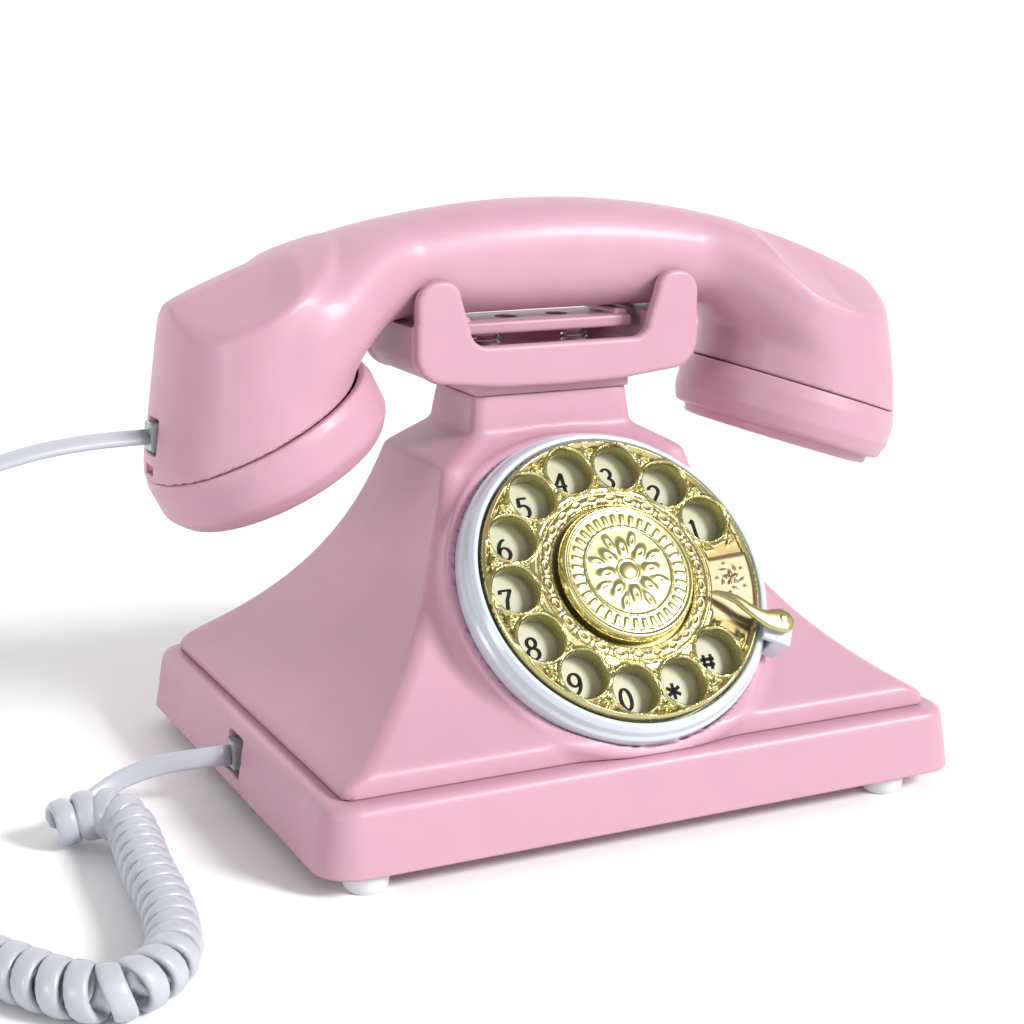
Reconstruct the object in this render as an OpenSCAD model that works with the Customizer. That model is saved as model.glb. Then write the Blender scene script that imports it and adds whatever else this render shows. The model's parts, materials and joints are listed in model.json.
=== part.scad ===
// Desk telephone with a sloping square body, a saddle cradle, a rotary dial
// and a separate handset on a curly cord.
// Millimetres. +Z is up, the dial faces -Y, and +X is on the right of someone
// who uses the telephone. The origin is under the middle of the overall box.

/* [Base] */
// Width of the base skirt at the bottom
base_w = 190; // [184:1:200]
// Depth of the base skirt at the bottom
base_d = 154; // [150:1:160]
// Height of the feet under the skirt
foot_h = 5.5; // [4:0.5:8]
// Height of the skirt
skirt_h = 17.5; // [17:0.5:20]
// How far the skirt leans in from bottom to top
skirt_draft = 2.8; // [1:0.1:3.5]
// Radius of the skirt's upright corners
skirt_r = 11; // [8:0.5:14]

/* [Body] */
// Height at which the sloping sides end and the shoulder starts
shoulder_z = 91; // [89:0.5:93]
// Height of the foot of the neck
neck_foot_z = 97.8; // [96:0.2:99]
// Height of the top of the neck
neck_top_z = 108; // [106:0.5:109]
// Wall of the body shell
shell_wall = 3.5; // [2.5:0.1:4]

/* [Dial] */
// Height of the middle of the finger wheel's face
dial_z = 65.9; // [64:0.1:67]
// Distance of that middle in front of the base's middle
dial_front = 50.6; // [49:0.1:52]
// How far the dial leans back from upright
dial_lean = 37.4; // [36:0.1:39]
// Radius of the finger wheel
wheel_r = 39.9; // [39:0.1:40]
// Radius of the circle through the finger holes
hole_circle_r = 32; // [31:0.1:32]
// Radius of a finger hole
hole_r = 6.4; // [5.5:0.1:6.5]
// Number of finger holes
hole_count = 12; // [10:1:12]

/* [Cradle] */
// Half width of the cradle
cradle_half_w = 43; // [42:0.5:44]
// Height of the cradle's prongs
prong_top_z = 140.6; // [138:0.2:142]
// How far the hook bar rises when the handset is lifted
hook_travel = 5; // [3:0.5:5]

/* [Handset] */
// Height of the handle's top at its middle
handle_top_z = 160.4; // [159:0.2:162]
// Height of the handle's underside at its middle
handle_low_z = 129.5; // [129.2:0.1:130]
// Half width of the handle
handle_half_w = 15.2; // [14:0.1:15.3]
// Radius of the arc along the handle's top
handle_arc_r = 250; // [240:5:260]
// Radius of the two end cups where the caps meet them
cup_r = 32.5; // [31:0.1:33]

/* [Cord] */
// Width of the flat cord
cord_w = 5; // [4:0.1:5.5]
// Thickness of the flat cord
cord_t = 2.6; // [2.2:0.1:3]
// Outer diameter of the curly part
coil_d = 13.2; // [12:0.1:14]

/* [Hidden] */

PINK = [0.93, 0.70, 0.78];
PALE = [0.93, 0.93, 0.95];
GOLD = [0.85, 0.78, 0.50];
CREAM = [0.88, 0.88, 0.78];
STEEL = [0.62, 0.63, 0.66];
BRASS = [0.78, 0.66, 0.36];
CLEAR = [0.85, 0.88, 0.90];
DARK = [0.16, 0.16, 0.18];
BOARD = [0.12, 0.38, 0.22];

// The base stands a little left of the handset's middle
stand_x = -4;
// Middle of the neck, the cradle and the handset, front to back
neck_y = 6.2;
skirt_top = foot_h + skirt_h;
plate_t = 2.5;
plate_top = foot_h + plate_t;
ledge_t = 2.5;
ledge_in = 5;
body_half_w = base_w / 2 - skirt_draft - ledge_in;
body_half_d = base_d / 2 - skirt_draft - ledge_in;
screw_x = 60;
screw_y = 46;
feet_x = [-81.5, 73.5];
feet_y = [-68.5, 68.5];

module stand() translate([stand_x, 0, 0]) children();

// ---- shared shapes -------------------------------------------------------

// Rectangle with rounded corners, made of squares and circles
module round_rect(w, d, r) {
    square([w - 2 * r, d], center = true);
    square([w, d - 2 * r], center = true);
    for (x = [-1, 1], y = [-1, 1])
        translate([x * (w / 2 - r), y * (d / 2 - r)]) circle(r = r, $fn = 48);
}

// Block with rounded upright corners and sides that lean in
module leaning_block(w, d, r, z0, z1, lean) {
    hull() for (x = [-1, 1], y = [-1, 1])
        translate([x * (w / 2 - r), y * (d / 2 - r), z0])
            cylinder(r1 = r, r2 = r - lean, h = z1 - z0, $fn = 32);
}

module box(lo, hi) translate(lo) cube(hi - lo);

module ring_of_tube(r_out, r_in, z0, z1) {
    translate([0, 0, z0]) difference() {
        cylinder(r = r_out, h = z1 - z0, $fn = 64);
        translate([0, 0, -1]) cylinder(r = r_in, h = z1 - z0 + 2, $fn = 64);
    }
}

// Solid through a list of rings that have the same number of points
function side_faces(n, m, closed) =
    [for (j = [0:closed ? m - 1 : m - 2], i = [0:n - 1])
        let (k = (j + 1) % m, i2 = (i + 1) % n)
        each [[j * n + i, k * n + i, k * n + i2], [j * n + i, k * n + i2, j * n + i2]]];

module skin(rings, closed = false) {
    n = len(rings[0]);
    m = len(rings);
    caps = closed ? [] : [[for (i = [0:n - 1]) i],
                          [for (i = [n - 1:-1:0]) (m - 1) * n + i]];
    polyhedron(points = [for (r = rings) each r],
               faces = concat(side_faces(n, m, closed), caps), convexity = 8);
}

function unit(v) = v / norm(v);

// Smooth curve through hand-placed points, s steps to each span
function spline_point(p, i, t) =
    let (n = len(p), a = p[max(i - 1, 0)], b = p[i], c = p[i + 1], d = p[min(i + 2, n - 1)])
    0.5 * (2 * b + (c - a) * t + (2 * a - 5 * b + 4 * c - d) * t * t
           + (3 * b - a - 3 * c + d) * t * t * t);
function spline(p, s) = concat(
    [for (i = [0:len(p) - 2], k = [0:s - 1]) spline_point(p, i, k / s)], [p[len(p) - 1]]);

// Ring of an oval tube that faces along t: half width a upright, b level
function tube_ring(c, t, a, b, n) =
    let (side = unit(cross(t, abs(t[2]) > 0.8 ? [0, 1, 0] : [0, 0, 1])),
         up = cross(side, t))
    [for (i = [0:n - 1]) let (w = 360 * i / n)
        c + side * b * cos(w) + up * a * sin(w)];

module tube_along(path, a, b, n) {
    m = len(path);
    skin([for (i = [0:m - 1])
        tube_ring(path[i], unit(path[min(i + 1, m - 1)] - path[max(i - 1, 0)]), a, b, n)]);
}

// ---- base ----------------------------------------------------------------

jack_y = -3.5;
jack_z = 14.3;
jack_half = 5.5;
line_jack_x = 30;
switch_x = -30;
switch_z = 14;

module base_skirt() stand() color(PINK) difference() {
    leaning_block(base_w, base_d, skirt_r, foot_h, skirt_top, skirt_draft);
    leaning_block(base_w - 5.4, base_d - 5.4, skirt_r - 2.5, foot_h - 0.1,
                  skirt_top - ledge_t, skirt_draft);
    box([-78, -60, skirt_top - 4], [78, 60, skirt_top + 1]);
    box([-base_w / 2 - 1, jack_y - jack_half, jack_z - jack_half],
        [-base_w / 2 + 8, jack_y + jack_half, jack_z + jack_half]);
    box([line_jack_x - 6, base_d / 2 - 8, 9.5], [line_jack_x + 6, base_d / 2 + 1, 18.5]);
    box([switch_x - 6, base_d / 2 - 8, switch_z - 2],
        [switch_x + 6, base_d / 2 + 1, switch_z + 2]);
}

module bottom_plate() stand() color(PINK) difference() {
    translate([0, 0, foot_h]) linear_extrude(plate_t) round_rect(base_w - 7.6, base_d - 7.6, 7);
    for (x = [-screw_x, screw_x], y = [-screw_y, screw_y])
        translate([x, y, foot_h - 1]) cylinder(r = 1.7, h = 6, $fn = 32);
    for (i = [0:5]) translate([66 + 8 * cos(60 * i), 10 + 8 * sin(60 * i), foot_h - 1])
        cylinder(r = 1.5, h = 6, $fn = 24);
}

module feet() stand() color(PALE)
    for (x = feet_x, y = feet_y) translate([x, y, 0]) {
        cylinder(r1 = 5.6, r2 = 6.4, h = foot_h, $fn = 48);
    }

// ---- body ----------------------------------------------------------------

flare_z = 28;
function half_w(z) = z > neck_top_z - 0.01 ? 23.8
    : z > neck_foot_z - 0.01 ? 25
    : min(body_half_w, 30 + 53.8 * exp((flare_z - z) / 32));
function front_y(z) = z > neck_top_z - 0.01 ? neck_y - 14.6
    : z > neck_foot_z - 0.01 ? -9.8
    : -min(body_half_d, 5 + 65.4 * exp((flare_z - z) / 40));
function rear_y(z) = z > neck_top_z - 0.01 ? neck_y + 14.6
    : z > neck_foot_z - 0.01 ? 23
    : min(body_half_d, 4 + 65.3 * exp((flare_z - z) / 60));

flare_steps = 10;
flare_low_z = skirt_top + 3;
body_levels = concat([skirt_top, flare_low_z],
    [for (i = [1:flare_steps]) flare_low_z + (shoulder_z - flare_low_z) * pow(i / flare_steps, 1.3)],
    [neck_foot_z, neck_top_z]);

function body_ring(z, inset, r) =
    let (w = half_w(z) - inset, f = front_y(z) + inset, b = rear_y(z) - inset)
    [for (c = [[1, 1, 0], [-1, 1, 90], [-1, -1, 180], [1, -1, 270]], i = [0:4])
        let (a = c[2] + 22.5 * i)
        [c[0] * (w - r) + r * cos(a), (c[1] > 0 ? b - r : f + r) + r * sin(a), z]];

function outer_rings() = [for (z = body_levels) body_ring(z, 0, 4)];
function inner_rings() = [for (i = [len(body_levels) - 1:-1:0])
    body_ring(body_levels[i], shell_wall, 1.5)];

// Places its children on the dial: the origin is the middle of the finger
// wheel's face, +Z comes out of the dial and +Y points up its face
module on_dial() translate([stand_x, -dial_front, dial_z]) rotate([90 - dial_lean, 0, 0])
    children();

drum_r = 47;
drum_bore_r = 43.5;
drum_top = -9;
// The bezel sits in a shallow seat where the flare would reach into it
seat_gap = 0.3;

module dial_drum() difference() {
    translate([0, -dial_front, dial_z]) rotate([90 - dial_lean, 0, 0])
        translate([0, 0, drum_top - 20]) cylinder(r1 = drum_r + 1.6, r2 = drum_r, h = 20, $fn = 72);
    box([-60, -90, -10], [60, 20, skirt_top]);
    skin([for (z = body_levels) body_ring(z, shell_wall - 0.5, 2)]);
}

module body_shell() stand() color(PINK) difference() {
    union() {
        skin(concat(outer_rings(), inner_rings()), closed = true);
        dial_drum();
        for (x = [-screw_x, screw_x], y = [-screw_y, screw_y])
            translate([x, y, plate_top]) cylinder(r = 4.5, h = 20, $fn = 32);
        intersection() {
            skin(outer_rings());
            for (x = [-screw_x, screw_x], y = [-screw_y, screw_y])
                translate([x, y, skirt_top]) cylinder(r = 4.5, h = 26, $fn = 32);
        }
    }
    for (x = [-screw_x, screw_x], y = [-screw_y, screw_y])
        translate([x, y, plate_top - 1]) cylinder(r = 1.7, h = 24, $fn = 32);
    translate([0, -dial_front, dial_z]) rotate([90 - dial_lean, 0, 0]) {
        translate([0, 0, -46]) cylinder(r = drum_bore_r, h = 60, $fn = 72);
        translate([0, 0, drum_top]) cylinder(r = bezel_r + seat_gap, h = 12, $fn = 96);
    }
}

module body_screws() stand() color(STEEL)
    for (x = [-screw_x, screw_x], y = [-screw_y, screw_y]) translate([x, y, 0]) {
        translate([0, 0, foot_h - 2]) cylinder(r = 3, h = 2, $fn = 32);
        translate([0, 0, foot_h - 0.1]) cylinder(r = 1.5, h = 24, $fn = 32);
    }

// ---- cradle and hook -----------------------------------------------------

yoke_t = 4;
yoke_front = neck_y - 19.7;
yoke_rear = neck_y + 19.7;
trough_floor = 117;
post_x = 14;
post_r = 2.6;
bar_z = 124.2;
bar_t = 3.4;
prong_in = 27.5;

// Points along an arc, and an outline's right half joined to its mirror image
function arc(c, r, a0, a1, n = 6) =
    [for (i = [0:n]) let (a = a0 + (a1 - a0) * i / n) c + r * [cos(a), sin(a)]];
function mirrored(p) = concat(p, [for (i = [len(p) - 1:-1:0]) [-p[i][0], p[i][1]]]);

saddle_low_z = 111.2;
saddle_r = 8;
saddle_corner = [cradle_half_w - saddle_r, 121];
prong_r = 5;
prong_lean = 2.6;
yoke_inner_z = 127.4;
flank_top_z = 128.4;
flank_in = 31;

function saddle_low_points() = concat([[18, saddle_low_z]], arc(saddle_corner, saddle_r, -90, 0));

// Yoke plate seen from the front: two round-topped prongs on a saddle
module yoke_outline() polygon(mirrored(concat(
    saddle_low_points(),
    arc([cradle_half_w - prong_r, prong_top_z - prong_r], prong_r, 0, 90),
    arc([prong_in + prong_lean + prong_r, prong_top_z - prong_r], prong_r, 90, 180),
    arc([prong_in - prong_r, yoke_inner_z], prong_r, 0, -90))));

// Trough from yoke to yoke: a floor, and a flank under each prong
module trough_outline() polygon(mirrored(concat(
    saddle_low_points(),
    [[cradle_half_w, flank_top_z], [flank_in, flank_top_z], [flank_in, trough_floor + 2],
     [flank_in - 2, trough_floor]])));

module cradle() stand() color(PINK) difference() {
    union() {
        for (y = [yoke_front + yoke_t, yoke_rear]) translate([0, y, 0]) rotate([90, 0, 0])
            linear_extrude(yoke_t) yoke_outline();
        translate([0, yoke_rear - 1, 0]) rotate([90, 0, 0])
            linear_extrude(yoke_rear - yoke_front - 2) trough_outline();
        box([-23.8, neck_y - 14.6, neck_top_z], [23.8, neck_y + 14.6, 112]);
    }
    for (s = [-1, 1]) {
        translate([s * post_x, neck_y, neck_top_z - 1]) cylinder(r = post_r + 0.06, h = 12, $fn = 48);
        translate([0, neck_y + 9 * s, neck_top_z - 1]) cylinder(r = 1.3, h = 6, $fn = 32);
    }
}

module cradle_screws() stand() color(STEEL) for (s = [-1, 1])
    translate([0, neck_y + 9 * s, neck_top_z]) {
        translate([0, 0, -3.2]) cylinder(r = 2.4, h = 1.7, $fn = 32);
        translate([0, 0, -2]) cylinder(r = 1.2, h = 6.5, $fn = 32);
    }

// The bracket hangs from its flange; the link has the bar's travel below it
flange_t = 1.5;
link_t = 3;
link_room = 3.5;
link_z = neck_top_z - flange_t - link_t - link_room - hook_travel;
bracket_half_w = 20.1;
bracket_top_z = neck_top_z - flange_t;
switch_low_z = link_z - 10;
module hook_bracket() stand() color(STEEL) difference() {
    union() {
        box([-bracket_half_w, neck_y - 7, switch_low_z - 2], [bracket_half_w, neck_y + 7, switch_low_z]);
        for (x = [-bracket_half_w, bracket_half_w - 1.5])
            box([x, neck_y - 7, switch_low_z - 1], [x + 1.5, neck_y + 7, bracket_top_z + 0.5]);
        box([-bracket_half_w, neck_y - 10.9, bracket_top_z], [bracket_half_w, neck_y + 10.9, neck_top_z]);
    }
    for (s = [-1, 1]) {
        translate([6 * s, neck_y, switch_low_z - 3]) cylinder(r = 1.2, h = 5, $fn = 32);
        translate([0, neck_y + 9 * s, neck_top_z - 3]) cylinder(r = 1.3, h = 6, $fn = 32);
        translate([post_x * s, neck_y, neck_top_z - 3]) cylinder(r = 3.2, h = 6, $fn = 32);
    }
}

module hook_switch() stand() color(DARK) {
    box([-10, neck_y - 3.2, switch_low_z], [10, neck_y + 3.2, link_z - 1]);
    translate([0, neck_y, link_z - 2]) cylinder(r = 1.6, h = 1.7, $fn = 32);
}

module hook_link() stand() color(PALE) difference() {
    box([-18.4, neck_y - 4, link_z], [18.4, neck_y + 4, link_z + link_t]);
    for (s = [-1, 1]) translate([s * post_x, neck_y, link_z - 1]) cylinder(r = 1.6, h = 5, $fn = 32);
}

module hook_bar() stand() color(PINK) {
    difference() {
        union() {
            translate([0, neck_y, bar_z]) linear_extrude(bar_t) round_rect(54, 20, 2.5);
            for (s = [-1, 1]) translate([s * 24.6, neck_y, bar_z + bar_t - 0.1])
                linear_extrude(1.6) round_rect(4.4, 16, 1.5);
        }
        for (s = [-1, 1]) translate([s * 8, neck_y, bar_z + 1]) cylinder(r = 3, h = 4, $fn = 32);
    }
    for (s = [-1, 1]) translate([s * post_x, neck_y, link_z]) {
        translate([0, 0, link_t]) cylinder(r = post_r, h = bar_z - link_z - link_t + 0.1, $fn = 48);
        cylinder(r = 1.6, h = link_t + 0.1, $fn = 32);
    }
}

spring_turns = 4;
module hook_springs() stand() color(STEEL) for (s = [-1, 1])
    translate([s * post_x, neck_y, 0])
        tube_along([for (i = [0:12 * spring_turns])
            [3.7 * cos(30 * i), 3.7 * sin(30 * i),
             trough_floor + 0.5 + (bar_z - trough_floor - 1) * i / (12 * spring_turns)]],
            0.4, 0.4, 6);

// ---- dial ----------------------------------------------------------------

first_hole_a = 24.6;
hole_pitch_a = 25.93;
bezel_r = 44.5;
frame_top = -9;
dial_screw_r = 42.2;
frame_t = 2;
shaft_r = 3;
bush_r = 5;
gear_module = 1;
gear_teeth = 48;
pinion_teeth = 12;
gear_gap = (gear_teeth + pinion_teeth) * gear_module / 2;
governor_a = 200;
governor_x = gear_gap * cos(governor_a);
governor_y = gear_gap * sin(governor_a);
stop_a = -25;

module dial_bezel() on_dial() color(PALE) difference() {
    rotate_extrude($fn = 96) polygon([
        [40.6, -6.2], [40.6, -9], [bezel_r, -9], [bezel_r, -6.2], [43.9, -5.6], [43.6, -4],
        [43, -2.2], [42.2, -1.2], [41.2, -0.9], [40.6, -1.4]]);
    for (i = [0:2]) rotate(90 + 120 * i) translate([dial_screw_r, 0, -10])
        cylinder(r = 0.85, h = 4, $fn = 24);
}

module number_plate() on_dial() color(CREAM) {
    ring_of_tube(40.2, 7, -7.2, -6);
    ring_of_tube(40.2, 39.2, frame_top, -7);
}

module dial_frame() on_dial() color(STEEL) difference() {
    translate([0, 0, frame_top - frame_t]) cylinder(r = 43.3, h = frame_t, $fn = 96);
    translate([0, 0, -20]) cylinder(r = bush_r, h = 20, $fn = 48);
    translate([governor_x, governor_y, -20]) cylinder(r = 1.55, h = 20, $fn = 32);
    for (i = [0:2]) rotate(90 + 120 * i)
        translate([dial_screw_r, 0, -20]) cylinder(r = 0.85, h = 20, $fn = 24);
}

module dial_bush() on_dial() color(BRASS) ring_of_tube(bush_r, shaft_r + 0.05, -15.8, -7.6);

module dial_screws() on_dial() color(STEEL) for (i = [0:2]) rotate(90 + 120 * i)
    translate([dial_screw_r, 0, 0]) {
        translate([0, 0, -12.4]) cylinder(r = 1.25, h = 1.4, $fn = 32);
        translate([0, 0, -11.5]) cylinder(r = 0.8, h = 4.5, $fn = 32);
    }

// Flat spiral strip
spiral_turns = 4;
module mainspring() on_dial() color(STEEL) translate([0, 0, -15.4]) linear_extrude(3.6)
    polygon(concat(
        [for (i = [0:24 * spiral_turns]) let (r = 6.4 + 1.7 * i / 24)
            r * [cos(15 * i), sin(15 * i)]],
        [for (i = [24 * spiral_turns:-1:0]) let (r = 6.9 + 1.7 * i / 24)
            r * [cos(15 * i), sin(15 * i)]]));

module pulse_contacts() on_dial() color(DARK) {
    box([-6, 28, -21], [6, 35, -11]);
    for (x = [-4, 0, 4]) box([x - 0.4, 30, -26], [x + 0.4, 33, -20.9]);
}

module governor_housing() on_dial() color(STEEL) translate([governor_x, governor_y, 0]) {
    difference() {
        union() {
            ring_of_tube(9, 7.2, -31, -22.5);
            translate([0, 0, -32.5]) cylinder(r = 9, h = 1.6, $fn = 64);
        }
        translate([0, 0, -40]) cylinder(r = 1.55, h = 20, $fn = 32);
    }
    for (a = [governor_a - 40, governor_a + 40]) rotate(a) translate([8.6, 0, -24])
        cylinder(r = 1.3, h = 13, $fn = 32);
}

module stop_bracket() on_dial() color(PALE) rotate(stop_a - 3) {
    box([bezel_r + 0.1, -4, -8.9], [49.2, 4, 1.2]);
    box([41, -4, -0.8], [49.2, 4, 1.2]);
}

module finger_stop() on_dial() color(GOLD) difference() {
    union() {
        rotate(stop_a) translate([0, 0, 1.2]) linear_extrude(1.5) polygon([
            [24, 1.4], [27, 2.6], [31, 2.8], [36, 1.6], [40, 1.5], [44, 3], [47.5, 2.6],
            [49, 0], [47.5, -3.2], [44, -4.4], [39, -3.8], [34, -1.4], [30, 0.2], [26, 0.8]]);
    }
    rotate(stop_a) translate([45, -0.5, 0]) cylinder(r = 1.1, h = 5, $fn = 32);
}

module stop_screw() on_dial() color(GOLD) rotate(stop_a) translate([45, -0.5, 1.2])
    cylinder(r = 1.05, h = 1.9, $fn = 32);

module finger_wheel() on_dial() color(GOLD) difference() {
    union() {
        translate([0, 0, -3.4]) cylinder(r = wheel_r, h = 2.7, $fn = 96);
        translate([0, 0, -4.2]) ring_of_tube(wheel_r, wheel_r - 1.2, 0, 4);
        for (i = [0:hole_count - 1]) rotate(first_hole_a + hole_pitch_a * i)
            translate([hole_circle_r, 0, -5]) cylinder(r = hole_r + 0.7, h = 5, $fn = 48);
        ring_of_tube(24.4, 20.6, -1, -0.2);
    }
    for (i = [0:hole_count - 1]) rotate(first_hole_a + hole_pitch_a * i)
        translate([hole_circle_r, 0, -8]) cylinder(r = hole_r, h = 12, $fn = 48);
    translate([0, 0, -1.8]) cylinder(r = 20.6, h = 4, $fn = 96);
    translate([0, 0, -8]) cylinder(r = shaft_r, h = 12, $fn = 48);
}

module centre_cap() on_dial() color(GOLD) rotate_extrude($fn = 96) polygon([
    [0, -1.8], [18.8, -1.8], [19.3, -1.2], [19.3, 2], [18.8, 2.8], [17.8, 3.1], [0, 3.1]]);

module dial_shaft() on_dial() color(STEEL) translate([0, 0, -23])
    cylinder(r = shaft_r, h = 21.2, $fn = 48);

// Gear outline: each tooth has involute flanks of the base circle
function inv(a) = tan(a) * 180 / PI - a;
function gear_points(n, m, backlash) =
    let (rp = n * m / 2, rb = rp * cos(20), ro = rp + 0.75 * m, rr = rp - 1.1 * m,
         low = max(rb, rr), half = 90 / n - backlash,
         flank = [for (k = [0:3]) let (r = low + (ro - low) * k / 3)
             [r, half + inv(20) - inv(acos(min(1, rb / r)))]])
    [for (t = [0:n - 1]) let (c = 360 * t / n) each concat(
        [let (w = flank[0][1]) rr * [cos(c - w), sin(c - w)]],
        [for (f = flank) f[0] * [cos(c - f[1]), sin(c - f[1])]],
        [for (k = [3:-1:0]) let (f = flank[k]) f[0] * [cos(c + f[1]), sin(c + f[1])]],
        [let (w = flank[0][1]) rr * [cos(c + w), sin(c + w)]])];

module main_gear() on_dial() color(BRASS) translate([0, 0, -20.5]) linear_extrude(3)
    difference() {
        rotate(governor_a) polygon(gear_points(gear_teeth, gear_module, 0.22));
        circle(r = shaft_r, $fn = 48);
        for (i = [0:3]) rotate(45 + 90 * i) translate([12, 0]) circle(r = 5, $fn = 48);
    }

module governor_pinion() on_dial() color(BRASS) translate([governor_x, governor_y, 0]) {
    translate([0, 0, -21]) linear_extrude(4)
        rotate(governor_a + 180 + 180 / pinion_teeth)
            polygon(gear_points(pinion_teeth, gear_module, 0.9));
    translate([0, 0, -32.8]) cylinder(r = 1.5, h = 23.6, $fn = 32);
}

module governor_weights() on_dial() color(STEEL) translate([governor_x, governor_y, 0])
    difference() {
        ring_of_tube(6.6, 1.5, -29, -24);
        for (a = [0, 180]) rotate(a) box([2.4, -0.7, -30], [8, 0.7, -23]);
    }

// ---- parts inside the base -----------------------------------------------

board_z = 17;
module main_board() stand() color(BOARD) difference() {
    box([-48, 12, board_z], [46, 54, board_z + 1.6]);
    for (x = [-43, 41], y = [17, 49])
        translate([x, y, board_z - 1]) cylinder(r = 1.6, h = 4, $fn = 32);
}

module board_parts() stand() color(DARK) {
    box([-20, 26, board_z + 1.6], [0, 34, board_z + 5]);
    box([10, 20, board_z + 1.6], [24, 30, board_z + 6]);
    for (x = [-34, -28, 30, 36])
        translate([x, 42, board_z + 1.6]) cylinder(r = 2.5, h = 9, $fn = 32);
    for (x = [-12, -6, 0, 6]) box([x - 1, 42, board_z + 1.6], [x + 1, 48, board_z + 3.4]);
}

module board_posts() stand() color(STEEL) for (x = [-43, 41], y = [17, 49])
    translate([x, y, plate_top]) {
        cylinder(r = 3, h = board_z - plate_top, $fn = 32);
        cylinder(r = 1.5, h = board_z - plate_top + 2.5, $fn = 32);
        translate([0, 0, board_z + 1.6 - plate_top]) cylinder(r = 2.7, h = 1.6, $fn = 32);
    }

module ringer() stand() color(DARK) translate([66, 10, plate_top]) difference() {
    cylinder(r = 13, h = 10, $fn = 64);
    translate([0, 0, 3]) cylinder(r = 2, h = 9, $fn = 32);
}

module ballast_weight() stand() color(STEEL) difference() {
    translate([0, -24, plate_top]) linear_extrude(9) round_rect(96, 52, 6);
    for (x = [-38, 38]) translate([x, -24, plate_top - 1]) cylinder(r = 2.1, h = 12, $fn = 32);
}

module ballast_screws() stand() color(BRASS) for (x = [-38, 38]) translate([x, -24, 0]) {
    translate([0, 0, plate_top]) cylinder(r = 2, h = 9.2, $fn = 32);
    translate([0, 0, plate_top + 9]) cylinder(r = 4, h = 2.2, $fn = 32);
}

jack_in_x = -base_w / 2 + 5.8;
module base_jack() stand() color(DARK) difference() {
    box([jack_in_x, jack_y - 6.2, 8.3],
        [jack_in_x + 17, jack_y + 6.2, skirt_top - ledge_t - 0.2]);
    box([jack_in_x - 1, jack_y - 3.5, jack_z - 4.2],
        [jack_in_x + 12, jack_y + 3.5, jack_z + 4.2]);
}

module line_jack() stand() color(DARK) difference() {
    box([line_jack_x - 8, base_d / 2 - 20, 8.2], [line_jack_x + 8, base_d / 2 - 6, 20]);
    box([line_jack_x - 5, base_d / 2 - 16, 10.5], [line_jack_x + 5, base_d / 2 - 3, 17.5]);
}

module ringer_switch() stand() color(DARK) difference() {
    box([switch_x - 8, base_d / 2 - 13, switch_z - 4],
        [switch_x + 8, base_d / 2 - 6, switch_z + 4]);
    box([switch_x - 4.5, base_d / 2 - 9, switch_z - 1.5],
        [switch_x + 4.5, base_d / 2 - 4, switch_z + 1.5]);
}

module ringer_switch_knob() stand() color(PALE)
    box([switch_x - 2, base_d / 2 - 8.7, switch_z - 1.2],
        [switch_x + 2, base_d / 2 - 0.6, switch_z + 1.2]);

// ---- handset -------------------------------------------------------------

mouth = [-86.3, neck_y, 104.3];
mouth_tilt = 27;
ear = [84.5, neck_y, 102.4];
ear_tilt = 18;
end_x = 112.5;
end_wall = 2.7;
arc_x = -2.5;

// Places its children on a cup: +Z points out of the cup along its axis
module on_mouth() translate(mouth) rotate([0, 180 - mouth_tilt, 0]) children();
module on_ear() translate(ear) rotate([0, 180 + ear_tilt, 0]) children();

function clamp01(t) = min(1, max(0, t));
function smooth(t) = let (c = clamp01(t)) c * c * (3 - 2 * c);
function handle_top(x) = handle_top_z - handle_arc_r
    + sqrt(handle_arc_r * handle_arc_r - (x - arc_x) * (x - arc_x))
    - 6 * pow(clamp01((abs(x) - end_x + 8) / 8), 2);
function handle_low(x) = let (u = clamp01((abs(x) - 44.5) / 12))
    handle_low_z - 13 * (1 - sqrt(1 - u * u)) - 12 * smooth((abs(x) - 60) / 30);
function handle_half(x) = handle_half_w + (cup_r - 4 - handle_half_w) * smooth((abs(x) - 46) / 34)
    - (cup_r - 16) * pow(clamp01((abs(x) - 84) / (end_x - 84)), 2);

handle_points = 16;
function handle_ring(x, inset) =
    let (t = handle_top(x) - inset, b = handle_low(x) + inset, w = handle_half(x) - inset)
    [for (i = [0:handle_points - 1])
        let (a = 360 * i / handle_points, c = cos(a), s = sin(a))
        [x, neck_y + w * sign(c) * pow(abs(c), 0.8),
         (t + b) / 2 + (t - b) / 2 * sign(s) * pow(abs(s), 0.8)]];
handle_x = concat([-end_x, -110, -105], [for (x = [-98:7:-63]) x], [-58, -56, -53, -49, -45, -30],
    [-15, 0, 15], [30, 45, 49, 53, 56, 58], [for (x = [63:7:98]) x], [105, 110, end_x]);

// Upright oval drums under the caps: [z, left end, right end, half depth]
mouth_cup = [[88, -115.7, -57.3, 32.5], [120, -112.5, -58.5, 32], [150, -108, -62, 30]];
ear_cup = [[88, 53.6, 115.7, 32.5], [120, 54.5, 113.9, 32], [150, 57, 109.5, 30]];
mouth_room = [[84, -112.3, -60.4, 29.4], [120, -108.4, -60.4, 28.8]];
ear_room = [[84, 56.8, 112.2, 29.4], [117, 57, 110.4, 28.8]];

function oval_ring(o) = let (mid = (o[1] + o[2]) / 2, half = (o[2] - o[1]) / 2)
    [for (i = [0:47]) [mid + half * cos(7.5 * i), neck_y + o[3] * sin(7.5 * i), o[0]]];
module oval_drum(levels) skin([for (o = levels) oval_ring(o)]);

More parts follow.
